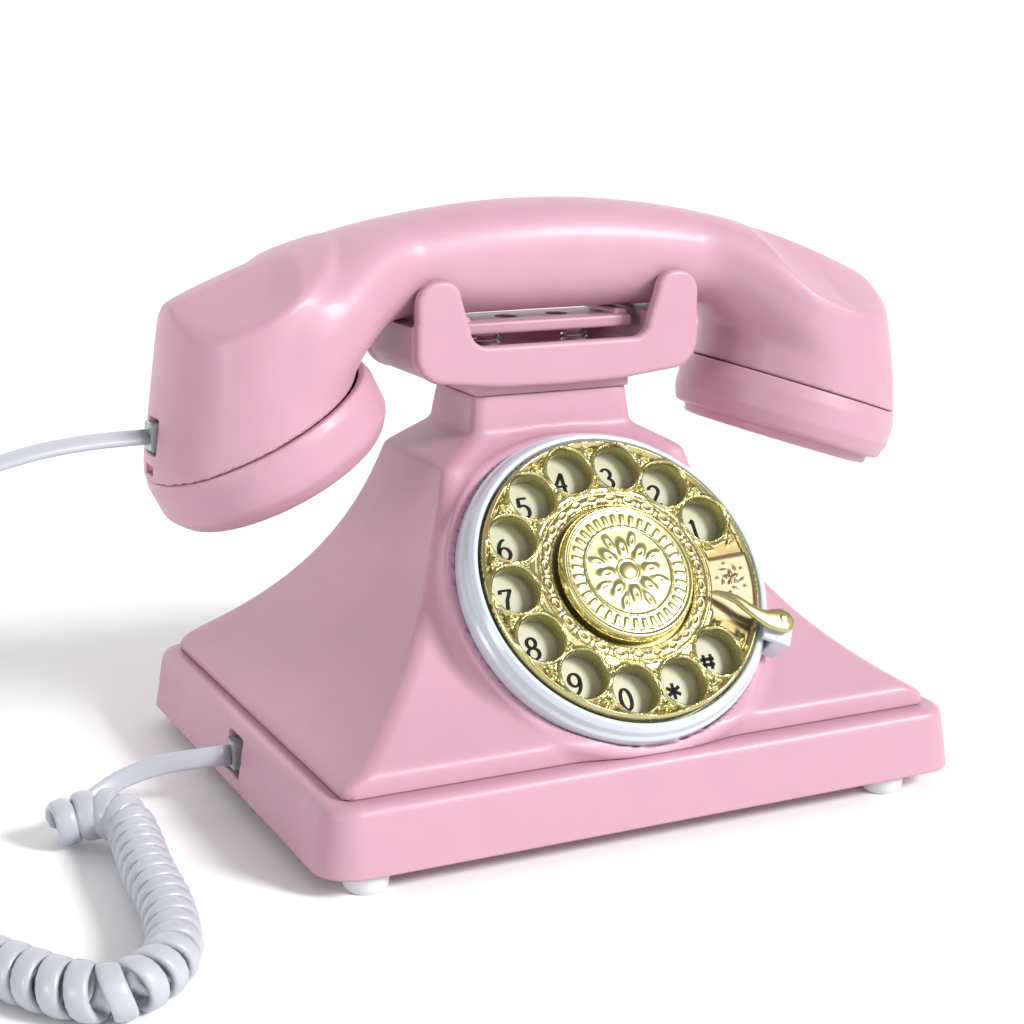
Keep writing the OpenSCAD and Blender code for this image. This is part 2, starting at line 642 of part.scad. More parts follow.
// Hollows for the fingers beside the spine near each end
scoop_r = 18;
scoop_y = 26.5;
scoop_x = 80;
scoop_z = 148;
scoop_end_x = 134;
mouth_scoop_low_z = 131;
ear_scoop_low_z = 127;
module scoop(side, y, low_z) let (drop = scoop_z - low_z, run = scoop_end_x - scoop_x)
    translate([side * scoop_x, neck_y + y * scoop_y, scoop_z])
        rotate([0, side * (90 + atan(drop / run)), 0]) {
            cylinder(r = scoop_r, h = norm([run, drop]), $fn = 48);
            sphere(r = scoop_r, $fn = 48);
        }

// The hollow of the handle narrows between the scoops
function room_half(x) = min(handle_half(x) - 3, 12.2 - 6.9 * smooth((abs(x) - 58) / 9));
function room_ring(x) = let (k = room_half(x) / (handle_half(x) - 3))
    [for (p = handle_ring(x, 3)) [p[0], neck_y + (p[1] - neck_y) * k, p[2]]];

module handset_shell() color(PINK) difference() {
    intersection() {
        union() {
            skin([for (x = handle_x) handle_ring(x, 0)]);
            intersection() {
                union() {
                    oval_drum(mouth_cup);
                    oval_drum(ear_cup);
                }
                translate([arc_x, neck_y - 50, handle_top_z - handle_arc_r]) rotate([-90, 0, 0])
                    cylinder(r = handle_arc_r - 0.3, h = 100, $fn = 240);
            }
        }
        box([-end_x - end_wall, -60, 0], [end_x + end_wall, 60, 200]);
    }
    skin([for (x = handle_x) if (abs(x) < 100) room_ring(x)]);
    oval_drum(mouth_room);
    oval_drum(ear_room);
    for (y = [-1, 1]) {
        scoop(-1, y, mouth_scoop_low_z);
        scoop(1, y, ear_scoop_low_z);
    }
    on_mouth() translate([0, 0, 0.01]) cylinder(r = cup_r + 3, h = 40, $fn = 64);
    on_ear() translate([0, 0, 0.01]) cylinder(r = cup_r + 3, h = 40, $fn = 64);
    box([-130, neck_y - 4.4, 96.8], [-100, neck_y + 4.4, 106.2]);
}

module cap_holes(count, r, z) {
    translate([0, 0, z]) cylinder(r = r, h = 12, $fn = 24);
    for (i = [0:5]) rotate(60 * i) translate([6, 0, z]) cylinder(r = r, h = 12, $fn = 24);
    for (i = [0:count - 1]) rotate(360 / count * i) translate([12, 0, z])
        cylinder(r = r, h = 12, $fn = 24);
}

module mouthpiece_cap() on_mouth() color(PINK) difference() {
    rotate_extrude($fn = 96) polygon([
        [30.2, 0.1], [32.8, 0.1], [33.3, 6], [33.2, 11], [32.2, 14.6], [30, 16.8], [27, 17.5],
        [20, 16.8], [10, 15.9], [0, 15.6], [0, 12.6], [27, 13.2], [29.4, 11], [30.2, 6]]);
    cap_holes(12, 1.1, 8);
}

module earpiece_cap() on_ear() color(PINK) difference() {
    rotate_extrude($fn = 96) polygon([
        [30.2, 0.1], [32.8, 0.1], [33.5, 5], [33.6, 9], [32.8, 12.6], [31, 14.4], [28.4, 14.8],
        [28.2, 16.6], [27.2, 17.6], [24.6, 17.6], [14, 14.6], [0, 13.6], [0, 11], [27, 11],
        [29.4, 9], [30.2, 5]]);
    cap_holes(12, 1.1, 8);
}

module capsule(r, h) rotate_extrude($fn = 72) polygon([
    [0, -h], [r - 5, -h], [r - 4, -h + 2], [r, -h + 3], [r, 0], [0, 0]]);

module receiver_capsule() on_ear() color(DARK) translate([0, 0, 5]) capsule(24, 12);
module transmitter_capsule() on_mouth() color(DARK) translate([0, 0, 6]) capsule(20, 13);
module receiver_gasket() on_ear() color(DARK) ring_of_tube(24, 17, 5, 10.9);
module transmitter_gasket() on_mouth() color(DARK) ring_of_tube(21, 16, 6, 12.5);

module handset_weight() color(STEEL)
    box([-32, neck_y - 7, handle_low_z + 4.6], [28, neck_y + 7, handle_low_z + 12]);

hs_jack_z = 101.5;
module handset_jack() color(DARK) difference() {
    box([-112, neck_y - 4.3, hs_jack_z - 4.6], [-106.2, neck_y + 4.3, hs_jack_z + 4.6]);
    box([-114, neck_y - 3.5, hs_jack_z - 4.1], [-107, neck_y + 3.5, hs_jack_z + 4.1]);
}

// ---- plugs and cord ------------------------------------------------------

plug_half_t = 3.2;
plug_half_w = 3.8;
base_exit = [stand_x - base_w / 2 + 0.4, jack_y, jack_z];

module handset_plug() color(CLEAR)
    box([-115.4, neck_y - plug_half_t, hs_jack_z - plug_half_w],
        [-107.3, neck_y + plug_half_t, hs_jack_z + plug_half_w]);

module base_plug() color(CLEAR)
    box([base_exit[0], jack_y - plug_half_t, jack_z - plug_half_w],
        [base_exit[0] + 13, jack_y + plug_half_t, jack_z + plug_half_w]);

// Cord routes, from the base jack to the handset jack
base_tail = [base_exit, [-106, -2, 14], [-117, 3, 11.5], [-128, 8, 7.5], [-139, 9, 4.5],
             [-149, 6, 3], [-157, -1, 3.5], [-160, -9, 4], [-160, -16, 5], [-157, -19, 6.5]];
coil_route = [[-155, -17, 6.7], [-150, -10.5, 6.7], [-143, -6.8, 6.7], [-137, -9.5, 6.7],
              [-134.8, -17, 6.7], [-135.5, -30, 6.7], [-137, -51, 6.7], [-138, -70, 6.7],
              [-139, -85, 6.7], [-143, -100, 6.7], [-152, -109.5, 6.7], [-164, -110, 6.7],
              [-174, -101, 6.7], [-182, -89, 6.7], [-189, -72, 6.7], [-196, -52, 6.7],
              [-201, -34, 6.7], [-203, -18, 6.7]];
handset_tail = [[-203.2, -16.5, 6.7], [-204.5, -9, 7], [-205, -1, 14], [-205, 4, 30],
                [-202, 5, 50], [-194, 5, 70], [-180, 4, 85], [-164, 3.5, 95], [-148, 4, 99.6],
                [-132, 5.4, 101.3], [-115.7, neck_y, hs_jack_z]];

module cord_base_tail() color(PALE) tube_along(spline(base_tail, 2), cord_w / 2, cord_t / 2, 8);
module cord_coil() color(PALE) tube_along(spline(coil_route, 2), coil_d / 2, coil_d / 2, 12);
module cord_handset_tail() color(PALE)
    tube_along(spline(handset_tail, 2), cord_w / 2, cord_t / 2, 8);

base_skirt();
bottom_plate();
feet();
body_shell();
body_screws();
cradle();
cradle_screws();
hook_bracket();
hook_switch();
hook_springs();
hook_bar();
hook_link();
dial_bezel();
number_plate();
dial_frame();
dial_bush();
dial_screws();
mainspring();
pulse_contacts();
governor_housing();
stop_bracket();
finger_stop();
stop_screw();
finger_wheel();
centre_cap();
dial_shaft();
main_gear();
governor_pinion();
governor_weights();
main_board();
board_parts();
board_posts();
ringer();
ballast_weight();
ballast_screws();
base_jack();
line_jack();
ringer_switch();
ringer_switch_knob();
handset_shell();
earpiece_cap();
mouthpiece_cap();
receiver_capsule();
transmitter_capsule();
receiver_gasket();
transmitter_gasket();
handset_weight();
handset_jack();
handset_plug();
base_plug();
cord_base_tail();
cord_coil();
cord_handset_tail();
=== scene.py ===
# A desk telephone with a rotary dial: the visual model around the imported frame.
# Shapes are worked out in millimetres and become metres when a mesh is made.
import json
import math

import bmesh
import bpy
import numpy as np
import openvdb
from mathutils import Matrix, Vector


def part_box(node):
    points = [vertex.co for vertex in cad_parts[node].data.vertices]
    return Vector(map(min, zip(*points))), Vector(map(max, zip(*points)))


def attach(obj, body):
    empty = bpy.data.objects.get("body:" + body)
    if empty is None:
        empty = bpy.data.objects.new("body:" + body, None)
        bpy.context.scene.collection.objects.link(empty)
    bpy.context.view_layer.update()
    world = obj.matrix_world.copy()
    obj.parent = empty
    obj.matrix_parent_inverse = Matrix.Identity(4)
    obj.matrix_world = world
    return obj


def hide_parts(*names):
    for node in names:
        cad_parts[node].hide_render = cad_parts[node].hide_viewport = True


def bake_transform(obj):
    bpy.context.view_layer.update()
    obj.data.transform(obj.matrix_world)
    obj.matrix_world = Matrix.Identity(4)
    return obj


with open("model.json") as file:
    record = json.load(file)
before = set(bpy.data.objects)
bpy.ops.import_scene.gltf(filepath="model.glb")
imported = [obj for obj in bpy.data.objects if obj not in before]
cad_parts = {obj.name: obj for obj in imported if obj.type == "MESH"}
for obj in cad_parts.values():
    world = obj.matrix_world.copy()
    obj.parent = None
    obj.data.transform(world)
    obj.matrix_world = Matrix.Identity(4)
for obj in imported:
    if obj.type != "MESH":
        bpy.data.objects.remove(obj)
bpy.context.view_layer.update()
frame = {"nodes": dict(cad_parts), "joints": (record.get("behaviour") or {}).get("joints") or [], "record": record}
NODES = frame["nodes"]
JOINTS = {j["name"]: j for j in frame["joints"]}
MM = 0.001


def node_box(name):
    """A CAD node's lowest and highest corner in millimetres."""
    low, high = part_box(name)
    return np.array(low) / MM, np.array(high) / MM


# ---- places taken from the frame ---------------------------------------------

skirt_low, skirt_high = node_box("base_skirt")
STAND_X = (skirt_low[0] + skirt_high[0]) / 2
BASE_HALF_W = (skirt_high[0] - skirt_low[0]) / 2
BASE_HALF_D = (skirt_high[1] - skirt_low[1]) / 2
FOOT_H, SKIRT_TOP = skirt_low[2], skirt_high[2]
bar_low, bar_high = node_box("hook_bar")
NECK_Y = (bar_low[1] + bar_high[1]) / 2
DIAL_AT = np.array(JOINTS["dial_turn"]["pos_m"]) / MM
DIAL_OUT = np.array(JOINTS["dial_turn"]["axis"])
DIAL_OUT = DIAL_OUT / np.linalg.norm(DIAL_OUT)
DIAL_RIGHT = np.array([1.0, 0.0, 0.0])
DIAL_UP = np.cross(DIAL_OUT, DIAL_RIGHT)

# ---- studio camera, made first -----------------------------------------------


def make_camera():
    """The camera at the photographed angle: 26 degrees to the left, 13.6 above."""
    azimuth, elevation, roll = map(math.radians, (-26.232, 13.572, 0.4896))
    target = Vector((-12.51, 0.0, 72.51)) * MM
    back = Vector((math.sin(azimuth) * math.cos(elevation),
                   -math.cos(azimuth) * math.cos(elevation), math.sin(elevation)))
    level = Vector((0, 0, 1)).cross(back).normalized()
    upright = back.cross(level)
    across = math.cos(roll) * level + math.sin(roll) * upright
    up = back.cross(across)
    data = bpy.data.cameras.new("camera")
    data.lens = 68.23
    data.sensor_width = 36.0
    data.clip_start = 0.01
    camera = bpy.data.objects.new("camera", data)
    bpy.context.scene.collection.objects.link(camera)
    turn = Matrix((across, up, back)).transposed().to_4x4()
    camera.matrix_world = Matrix.Translation(target + back * 0.550996) @ turn
    bpy.context.scene.camera = camera


make_camera()

# ---- mesh helpers ------------------------------------------------------------


def new_object(name, points, faces, normals=None, smooth=True):
    """A mesh object from points in millimetres and faces of equal or mixed size."""
    mesh = bpy.data.meshes.new(name)
    faces = faces.tolist() if isinstance(faces, np.ndarray) else faces
    mesh.from_pydata((np.asarray(points, float) * MM).tolist(), [], faces)
    mesh.update()
    mesh.polygons.foreach_set("use_smooth", [smooth] * len(mesh.polygons))
    if normals is not None:
        mesh.normals_split_custom_set_from_vertices(np.asarray(normals, float).tolist())
    obj = bpy.data.objects.new(name, mesh)
    bpy.context.scene.collection.objects.link(obj)
    return obj


def smooth_by_angle(obj, degrees=32):
    """Smooth shading that breaks at the real edges."""
    obj.data.polygons.foreach_set("use_smooth", [True] * len(obj.data.polygons))
    obj.data.set_sharp_from_angle(angle=math.radians(degrees))


def on_dial(p):
    """Dial coordinates (right, up, out) in millimetres to the row frame."""
    p = np.asarray(p, float)
    return DIAL_AT + p[..., :1] * DIAL_RIGHT + p[..., 1:2] * DIAL_UP + p[..., 2:3] * DIAL_OUT


def from_dial(x, y, z):
    """Row-frame millimetres to dial coordinates (right, up, out)."""
    dx, dy, dz = x - DIAL_AT[0], y - DIAL_AT[1], z - DIAL_AT[2]
    return dx, *(dx * axis[0] + dy * axis[1] + dz * axis[2] for axis in (DIAL_UP, DIAL_OUT))


def solid_of(name, field, low, high, step):
    """Closed mesh of the surface where field(x, y, z) is zero, negative inside.

    The grid gives the faces. Each vertex is then moved onto the true surface
    and takes its normal from the field, so the shading is as smooth as the shape.
    """
    axes = [np.arange(low[i], high[i] + step, step) for i in range(3)]
    x, y, z = np.meshgrid(*axes, indexing="ij")
    grid = openvdb.FloatGrid(4 * step)
    grid.copyFromArray(np.clip(field(x, y, z), -3 * step, 3 * step).astype(np.float32))
    points, quads = grid.convertToQuads(0.0)
    points = np.array(points, float) * step + np.array(low, float)
    for _ in range(4):
        value, slope = value_and_slope(field, points)
        square = np.maximum((slope ** 2).sum(1), 0.04)
        points -= np.clip(value / square, -0.4 * step, 0.4 * step)[:, None] * slope
    _, slope = value_and_slope(field, points)
    normals = slope / np.maximum(np.linalg.norm(slope, axis=1), 1e-9)[:, None]
    return new_object(name, points, np.array(quads), normals)


def value_and_slope(field, p, eps=0.02):
    x, y, z = p[:, 0], p[:, 1], p[:, 2]
    slope = np.stack([field(x + eps, y, z) - field(x - eps, y, z),
                      field(x, y + eps, z) - field(x, y - eps, z),
                      field(x, y, z + eps) - field(x, y, z - eps)], 1) / (2 * eps)
    return field(x, y, z), slope


def blend_min(a, b, k):
    """Union of two fields with a fillet of about k."""
    h = np.clip(0.5 + 0.5 * (b - a) / k, 0, 1)
    return b * (1 - h) + a * h - k * h * (1 - h)


def blend_max(a, b, k):
    """Intersection of two fields with an edge rounded by about k."""
    return -blend_min(-a, -b, k)


def box_field(x, y, z, centre, half, r):
    """Box with rounded edges."""
    q = [np.abs(v - c) - (h - r) for v, c, h in zip((x, y, z), centre, half)]
    outside = np.sqrt(sum(np.maximum(v, 0) ** 2 for v in q))
    return outside + np.minimum(np.maximum(q[0], np.maximum(q[1], q[2])), 0) - r


def rect_field(x, y, half_x, half_y, r):
    """Rectangle with rounded corners, in a plane."""
    qx, qy = np.abs(x) - (half_x - r), np.abs(y) - (half_y - r)
    outside = np.sqrt(np.maximum(qx, 0) ** 2 + np.maximum(qy, 0) ** 2)
    return outside + np.minimum(np.maximum(qx, qy), 0) - r


def polygon_field(x, y, points):
    """Signed distance to a closed outline in a plane."""
    nearest = np.full(np.shape(x), 1e9)
    inside = np.zeros(np.shape(x), bool)
    for (x0, y0), (x1, y1) in zip(points, points[1:] + points[:1]):
        ex, ey = x1 - x0, y1 - y0
        if ex * ex + ey * ey < 1e-12:
            continue
        t = np.clip(((x - x0) * ex + (y - y0) * ey) / (ex * ex + ey * ey), 0, 1)
        nearest = np.minimum(nearest, (x - x0 - ex * t) ** 2 + (y - y0 - ey * t) ** 2)
        if y0 != y1:
            inside ^= ((y0 <= y) != (y1 <= y)) & (x < ex * (y - y0) / ey + x0)
    return np.where(inside, -1.0, 1.0) * np.sqrt(nearest)


def fillet(points, radii, steps=5):
    """An open outline with each inner corner replaced by an arc."""
    out = [tuple(points[0])]
    for i in range(1, len(points) - 1):
        p0, p, p1 = (np.array(q, float) for q in points[i - 1:i + 2])
        a, b = p0 - p, p1 - p
        la, lb = np.linalg.norm(a), np.linalg.norm(b)
        a, b = a / la, b / lb
        half = math.acos(np.clip(a @ b, -1, 1)) / 2
        reach = min(radii[i] / max(math.tan(half), 1e-6), 0.48 * la, 0.48 * lb)
        if reach < 1e-4 or half > 1.55:
            out.append(tuple(p))
            continue
        for k in range(steps + 1):
            t = k / steps
            q = (1 - t) ** 2 * (p + a * reach) + 2 * t * (1 - t) * p + t * t * (p + b * reach)
            out.append(tuple(q))
    out.append(tuple(points[-1]))
    return out


def lathe(name, profile, place, segments=128, closed=True):
    """Turns an outline of (radius, out) about the dial's or a cup's axis."""
    n = len(profile)
    angle = np.arange(segments) * 2 * math.pi / segments
    profile = np.array(profile, float)
    p = np.stack([np.outer(np.cos(angle), profile[:, 0]), np.outer(np.sin(angle), profile[:, 0]),
                  np.tile(profile[:, 1], (segments, 1))], -1)
    faces = []
    for j in range(segments):
        for i in range(n if closed else n - 1):
            a, b = j * n + i, j * n + (i + 1) % n
            c, d = ((j + 1) % segments) * n + (i + 1) % n, ((j + 1) % segments) * n + i
            faces.append((a, d, c, b))
    obj = new_object(name, place(p.reshape(-1, 3)), faces)
    tidy(obj)
    smooth_by_angle(obj, 40)
    return obj


def tidy(obj):
    """Joins doubled points and turns every face outwards."""
    bm = bmesh.new()
    bm.from_mesh(obj.data)
    bmesh.ops.remove_doubles(bm, verts=bm.verts, dist=1e-6)
    bmesh.ops.recalc_face_normals(bm, faces=bm.faces)
    bm.to_mesh(obj.data)
    bm.free()
    obj.data.update()


def curve_through(points, spacing):
    """Smooth curve through listed points, resampled evenly."""
    p = np.array(points, float)
    p = np.concatenate([[2 * p[0] - p[1]], p, [2 * p[-1] - p[-2]]])
    fine = []
    for i in range(1, len(p) - 2):
        a, b, c, d = p[i - 1:i + 3]
        for t in np.arange(24) / 24:
            fine.append(0.5 * (2 * b + (c - a) * t + (2 * a - 5 * b + 4 * c - d) * t ** 2
                               + (3 * b - a - 3 * c + d) * t ** 3))
    fine = np.array(fine + [p[-2]])
    run = np.concatenate([[0], np.cumsum(np.linalg.norm(np.diff(fine, axis=0), axis=1))])
    at = np.linspace(0, run[-1], max(2, int(round(run[-1] / spacing)) + 1))
    return np.stack([np.interp(at, run, fine[:, k]) for k in range(3)], 1)


def directions(path):
    d = np.gradient(path, axis=0)
    return d / np.linalg.norm(d, axis=1)[:, None]


def sweep(name, path, across, half_w, half_t, sides=16, power=2.6):
    """Closed tube along a path: half_w along across, half_t at right angles."""
    along = directions(path)
    across = across - (across * along).sum(1)[:, None] * along
    across /= np.linalg.norm(across, axis=1)[:, None]
    other = np.cross(along, across)
    a = np.arange(sides) * 2 * math.pi / sides
    cx = np.sign(np.cos(a)) * np.abs(np.cos(a)) ** (2 / power)
    cy = np.sign(np.sin(a)) * np.abs(np.sin(a)) ** (2 / power)
    half_w = np.broadcast_to(half_w, len(path))
    half_t = np.broadcast_to(half_t, len(path))
    rings = (path[:, None] + across[:, None] * (cx[:, None] * half_w[:, None, None])
             + other[:, None] * (cy[:, None] * half_t[:, None, None]))
    faces = []
    for j in range(len(path) - 1):
        for i in range(sides):
            k = (i + 1) % sides
            faces.append((j * sides + i, j * sides + k, (j + 1) * sides + k, (j + 1) * sides + i))
    last = (len(path) - 1) * sides
    faces.append(tuple(range(sides - 1, -1, -1)))
    faces.append(tuple(last + i for i in range(sides)))
    return new_object(name, rings.reshape(-1, 3), faces)


# ---- materials ---------------------------------------------------------------


def material(name, colour, roughness, metallic=0.0, tone=0.03, tone_scale=90.0, grain=0.06,
             grain_scale=1500.0, rough_spread=0.06, coat=0.0, stretch=None, specular=0.5):
    """Principled surface with a faint drift of tone, varied gloss and a fine grain."""
    mat = bpy.data.materials.new(name)
    mat.use_nodes = True
    tree = mat.node_tree
    shader = tree.nodes["Principled BSDF"]
    shader.inputs["Metallic"].default_value = metallic
    shader.inputs["Specular IOR Level"].default_value = specular
    shader.inputs["Coat Weight"].default_value = coat
    shader.inputs["Coat Roughness"].default_value = 0.12
    where = tree.nodes.new("ShaderNodeTexCoord").outputs["Object"]
    if stretch:
        mapping = tree.nodes.new("ShaderNodeMapping")
        mapping.inputs["Scale"].default_value = stretch
        tree.links.new(where, mapping.inputs["Vector"])
        where = mapping.outputs["Vector"]

    def noise(scale, detail):
        node = tree.nodes.new("ShaderNodeTexNoise")
        node.inputs["Scale"].default_value = scale
        node.inputs["Detail"].default_value = detail
        tree.links.new(where, node.inputs["Vector"])
        return node.outputs["Fac"]

    ramp = tree.nodes.new("ShaderNodeValToRGB")
    for stop, at, gain in zip(ramp.color_ramp.elements, (0.3, 0.7), (1 - tone, 1 + tone)):
        stop.position = at
        stop.color = [min(1, c * gain) for c in colour] + [1]
    tree.links.new(noise(tone_scale, 3), ramp.inputs["Fac"])
    tree.links.new(ramp.outputs["Color"], shader.inputs["Base Color"])
    spread = tree.nodes.new("ShaderNodeMapRange")
    spread.inputs["To Min"].default_value = roughness - rough_spread
    spread.inputs["To Max"].default_value = roughness + rough_spread
    tree.links.new(noise(tone_scale * 3, 4), spread.inputs["Value"])
    tree.links.new(spread.outputs["Result"], shader.inputs["Roughness"])
    bump = tree.nodes.new("ShaderNodeBump")
    bump.inputs["Strength"].default_value = grain
    bump.inputs["Distance"].default_value = 0.0002
    tree.links.new(noise(grain_scale, 2), bump.inputs["Height"])
    tree.links.new(bump.outputs["Normal"], shader.inputs["Normal"])
    return mat


PINK = material("pink_plastic", (0.505, 0.279, 0.354), 0.44, tone=0.02, grain=0.05, coat=0.05,
                specular=0.4)
WHITE = material("white_gloss", (0.53, 0.58, 0.65), 0.22, tone=0.015, grain=0.03, coat=0.3)
FOOT = material("white_rubber", (0.62, 0.62, 0.64), 0.5, grain=0.12)
CORD = material("white_cord", (0.43, 0.44, 0.50), 0.36, tone=0.02, grain=0.05, coat=0.2)
CARD = material("cream_card", (0.50, 0.50, 0.36), 0.28, tone=0.03, grain=0.03, coat=0.4)
INK = material("black_ink", (0.006, 0.006, 0.006), 0.6, grain=0.05, specular=0.15)
GOLD = material("gold_plate", (0.55, 0.50, 0.24), 0.27, 1.0, tone=0.05, grain=0.05,
                rough_spread=0.05)
# Gold darkened to stand for shade: painted shade for the wheel's sunk ground, the lows between the beads and the
# recess floor.
RECESS_SHADE_GOLD = material("gold_painted_shade", (0.20, 0.15, 0.07), 0.4, 1.0, tone=0.1, tone_scale=300,
                     grain=0.1)
SATIN_GOLD = material("satin_gold", (0.27, 0.215, 0.135), 0.42, 1.0, tone=0.07, tone_scale=400,
                      grain=0.2, grain_scale=3500)
STEEL = material("zinc_steel", (0.55, 0.56, 0.58), 0.36, 1.0, tone=0.05, grain=0.12,
                 stretch=(1, 8, 1))
BRASS = material("machined_brass", (0.68, 0.50, 0.21), 0.3, 1.0, tone=0.05, grain=0.1)
BLACK = material("black_moulding", (0.022, 0.022, 0.025), 0.5, tone=0.1, grain=0.2)
BOARD = material("solder_mask", (0.012, 0.13, 0.05), 0.32, tone=0.2, tone_scale=300, coat=0.4)
FOAM = material("foam_rubber", (0.03, 0.03, 0.033), 0.9, tone=0.25, tone_scale=1400, grain=0.8)
CLEAR = material("clear_moulding", (0.80, 0.82, 0.84), 0.12, tone=0.02, grain=0.03)
CLEAR.node_tree.nodes["Principled BSDF"].inputs["Transmission Weight"].default_value = 0.7

CAD_LOOKS = {
    "pink_plastic": PINK, "white_plastic": WHITE, "gold_finish": GOLD, "number_card": CARD,
    "steel": STEEL, "brass": BRASS, "black_plastic": BLACK, "circuit_board": BOARD,
    "foam_rubber": FOAM, "clear_plastic": CLEAR, "white_cord": CORD,
}


def dress_cad_nodes():
    """Each CAD node that stays in sight takes the look of its material slot."""
    for part in frame["record"]["subparts"]:
        obj = NODES[part["node"]]
        obj.data.materials.clear()
        obj.data.materials.append(CAD_LOOKS[part["material_slot"]])


dress_cad_nodes()


def finish_piece(obj, body, slot, mat, *stands_for):
    """Material, body and the CAD nodes that this piece stands for; slot is not used."""
    obj.data.materials.clear()
    obj.data.materials.append(mat)
    if body:
        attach(obj, body)
    if stands_for:
        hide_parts(*stands_for)
    return obj


# ---- handset cord, made before everything else that shows ----------------------

CORD_W, CORD_T = 5.4, 2.6
COIL_OUTER, COIL_PITCH = 13.2, 6.1
BASE_JACK_Y, BASE_JACK_Z = -3.5, 14.3
BASE_EXIT = [STAND_X - 95.0 + 0.4, BASE_JACK_Y, BASE_JACK_Z]
HANDSET_JACK_Z = 101.5
BASE_TAIL = [BASE_EXIT, [-106, -2, 14], [-117, 2.5, 12], [-127, 4, 9], [-136, 1.5, 5.5],
             [-143, -3.6, 3.6], [-147.9, -7.4, 3.8]]
COIL_ROUTE = [[-149.2, -12.9, 6.7], [-142.4, -13.9, 7.9], [-136.2, -16.4, 8.6],
              [-132.6, -22, 8.0], [-132.6, -31, 6.9], [-135.2, -52, 6.7], [-136.7, -71, 6.7],
              [-139.3, -87, 6.7], [-143.4, -98.2, 6.7], [-150.5, -105.6, 6.7],
              [-159, -108.4, 6.7], [-168, -101.5, 6.7], [-175, -91, 6.7], [-184, -76, 6.7],
              [-193, -55, 6.7], [-200, -35, 6.7], [-203, -18, 6.7]]
HANDSET_TAIL = [[-203.2, -16.5, 6.7], [-204.5, -9, 7], [-205, -1, 14], [-205, 4, 30],
                [-202, 5, 50], [-194, 5, 70], [-180, 4, 85], [-164, 3.5, 95], [-148, 4, 99.6],
                [-132, 5.4, 101.3], [-115.7, NECK_Y, HANDSET_JACK_Z]]


def ease(t):
    t = np.clip(t, 0, 1)
    return t * t * (3 - 2 * t)


def make_cord():
    """One flat cord: a tail, the curly part wound round its route, and a tail."""
    radius = (COIL_OUTER - CORD_T) / 2
    step_angle = math.radians(22.5)
    route = curve_through(COIL_ROUTE, 0.25)
    run = np.concatenate([[0], np.cumsum(np.linalg.norm(np.diff(route, axis=0), axis=1))])
    turns = run[-1] / COIL_PITCH
    count = int(turns * 2 * math.pi / step_angle)
    at = np.linspace(0, run[-1], count)
    centre = np.stack([np.interp(at, run, route[:, k]) for k in range(3)], 1)
    along = directions(centre)
    upright = np.tile([0.0, 0.0, 1.0], (count, 1))
    side = np.cross(upright, along)
    angle = np.arange(count) * step_angle + math.radians(-25)
    lead = 1.2 * COIL_PITCH
    reach = radius * ease((run[-1] - at) / lead)
    helix = centre + reach[:, None] * (np.cos(angle)[:, None] * side
                                       + np.sin(angle)[:, None] * upright)
    first = curve_through(BASE_TAIL, 3.0)
    last = curve_through(HANDSET_TAIL, 3.0)
    path = np.concatenate([first, helix[2:-2], last])
    n1, n2 = len(first), len(first) + count - 4
    across = np.empty_like(path)
    across[:n1] = [0.0, 0.35, 1.0]
    across[n1:n2] = along[2:-2]
    across[n2:] = [0.3, 1.0, 0.5]
    for _ in range(10):
        across[1:-1] = (across[:-2] + 2 * across[1:-1] + across[2:]) / 4
    for n in (n1, n1, n1, n2, n2, n2):
        path[n - 4:n + 5] = (path[n - 5:n + 4] + path[n - 4:n + 5] * 2
                             + path[n - 3:n + 6]) / 4
    obj = sweep("handset_cord", path, across, CORD_W / 2, CORD_T / 2)
    length = np.linalg.norm(np.diff(path, axis=0), axis=1).sum() * MM
    finish_piece(obj, None, "white_cord", CORD, "cord_base_tail", "cord_coil",
                 "cord_handset_tail")
    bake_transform(obj)
    return obj, path, length


def make_plug(name, body):
    """Clear modular plug: a rounded block with a latch arm and contact slots."""
    low, high = node_box(name)
    middle, half = (low + high) / 2, (high - low) / 2
    front, latch = middle[1] - half[1], middle[1] + half[1] + 0.15

    def field(x, y, z):
        d = box_field(x, y, z, middle, half, 0.5)
        for k in range(4):
            groove = box_field(x, y, z, [high[0], front, middle[2] + (k - 1.5) * 1.5],
                               [half[0] * 0.9, 0.7, 0.3], 0.1)
            d = blend_max(d, -groove, 0.2)
        arm = box_field(x, y, z, [middle[0] + 0.2, latch, middle[2]],
                        [half[0] * 0.8, 0.35, 1.3], 0.2)
        return blend_min(d, arm, 0.2)

    obj = solid_of(name + "_body", field, middle - half - 1.5, middle + half + 1.5, 0.3)
    return finish_piece(obj, body, "clear_plastic", CLEAR, name)


cord_piece, cord_path, cord_length = make_cord()
plugs = [make_plug("base_plug", "base"), make_plug("handset_plug", "handset")]

# ---- body ----------------------------------------------------------------------

SHOULDER_Z, NECK_FOOT_Z, NECK_TOP_Z = 91.0, 97.8, 108.0
BODY_FOOT_HALF, BODY_FOOT_DEEP = 87.2, 69.2
SHELL_WALL = 3.2


def flare(z, near, reach, fall, limit):
    """Half width of the sloping side: steep near the shoulder, spreading to the foot."""
    return blend_min(near + reach * np.exp((28.0 - z) / fall), limit, 2.0)


def profile_at(z):
    """Half width, front and rear distances of the body at a height."""
    def through(near, reach, fall, limit, neck_foot, neck_top):
        shoulder = near + reach * math.exp((28 - SHOULDER_Z) / fall)
        above = np.interp(z, [SHOULDER_Z, NECK_FOOT_Z, NECK_TOP_Z],
                          [shoulder, neck_foot, neck_top])
        return np.where(z < SHOULDER_Z, flare(z, near, reach, fall, limit), above)

    return (through(30, 53.8, 32, BODY_FOOT_HALF, 25.0, 23.8),
            through(5, 65.4, 40, BODY_FOOT_DEEP, 9.8, 8.4),
            through(4, 65.3, 60, BODY_FOOT_DEEP, 23.0, 20.8))


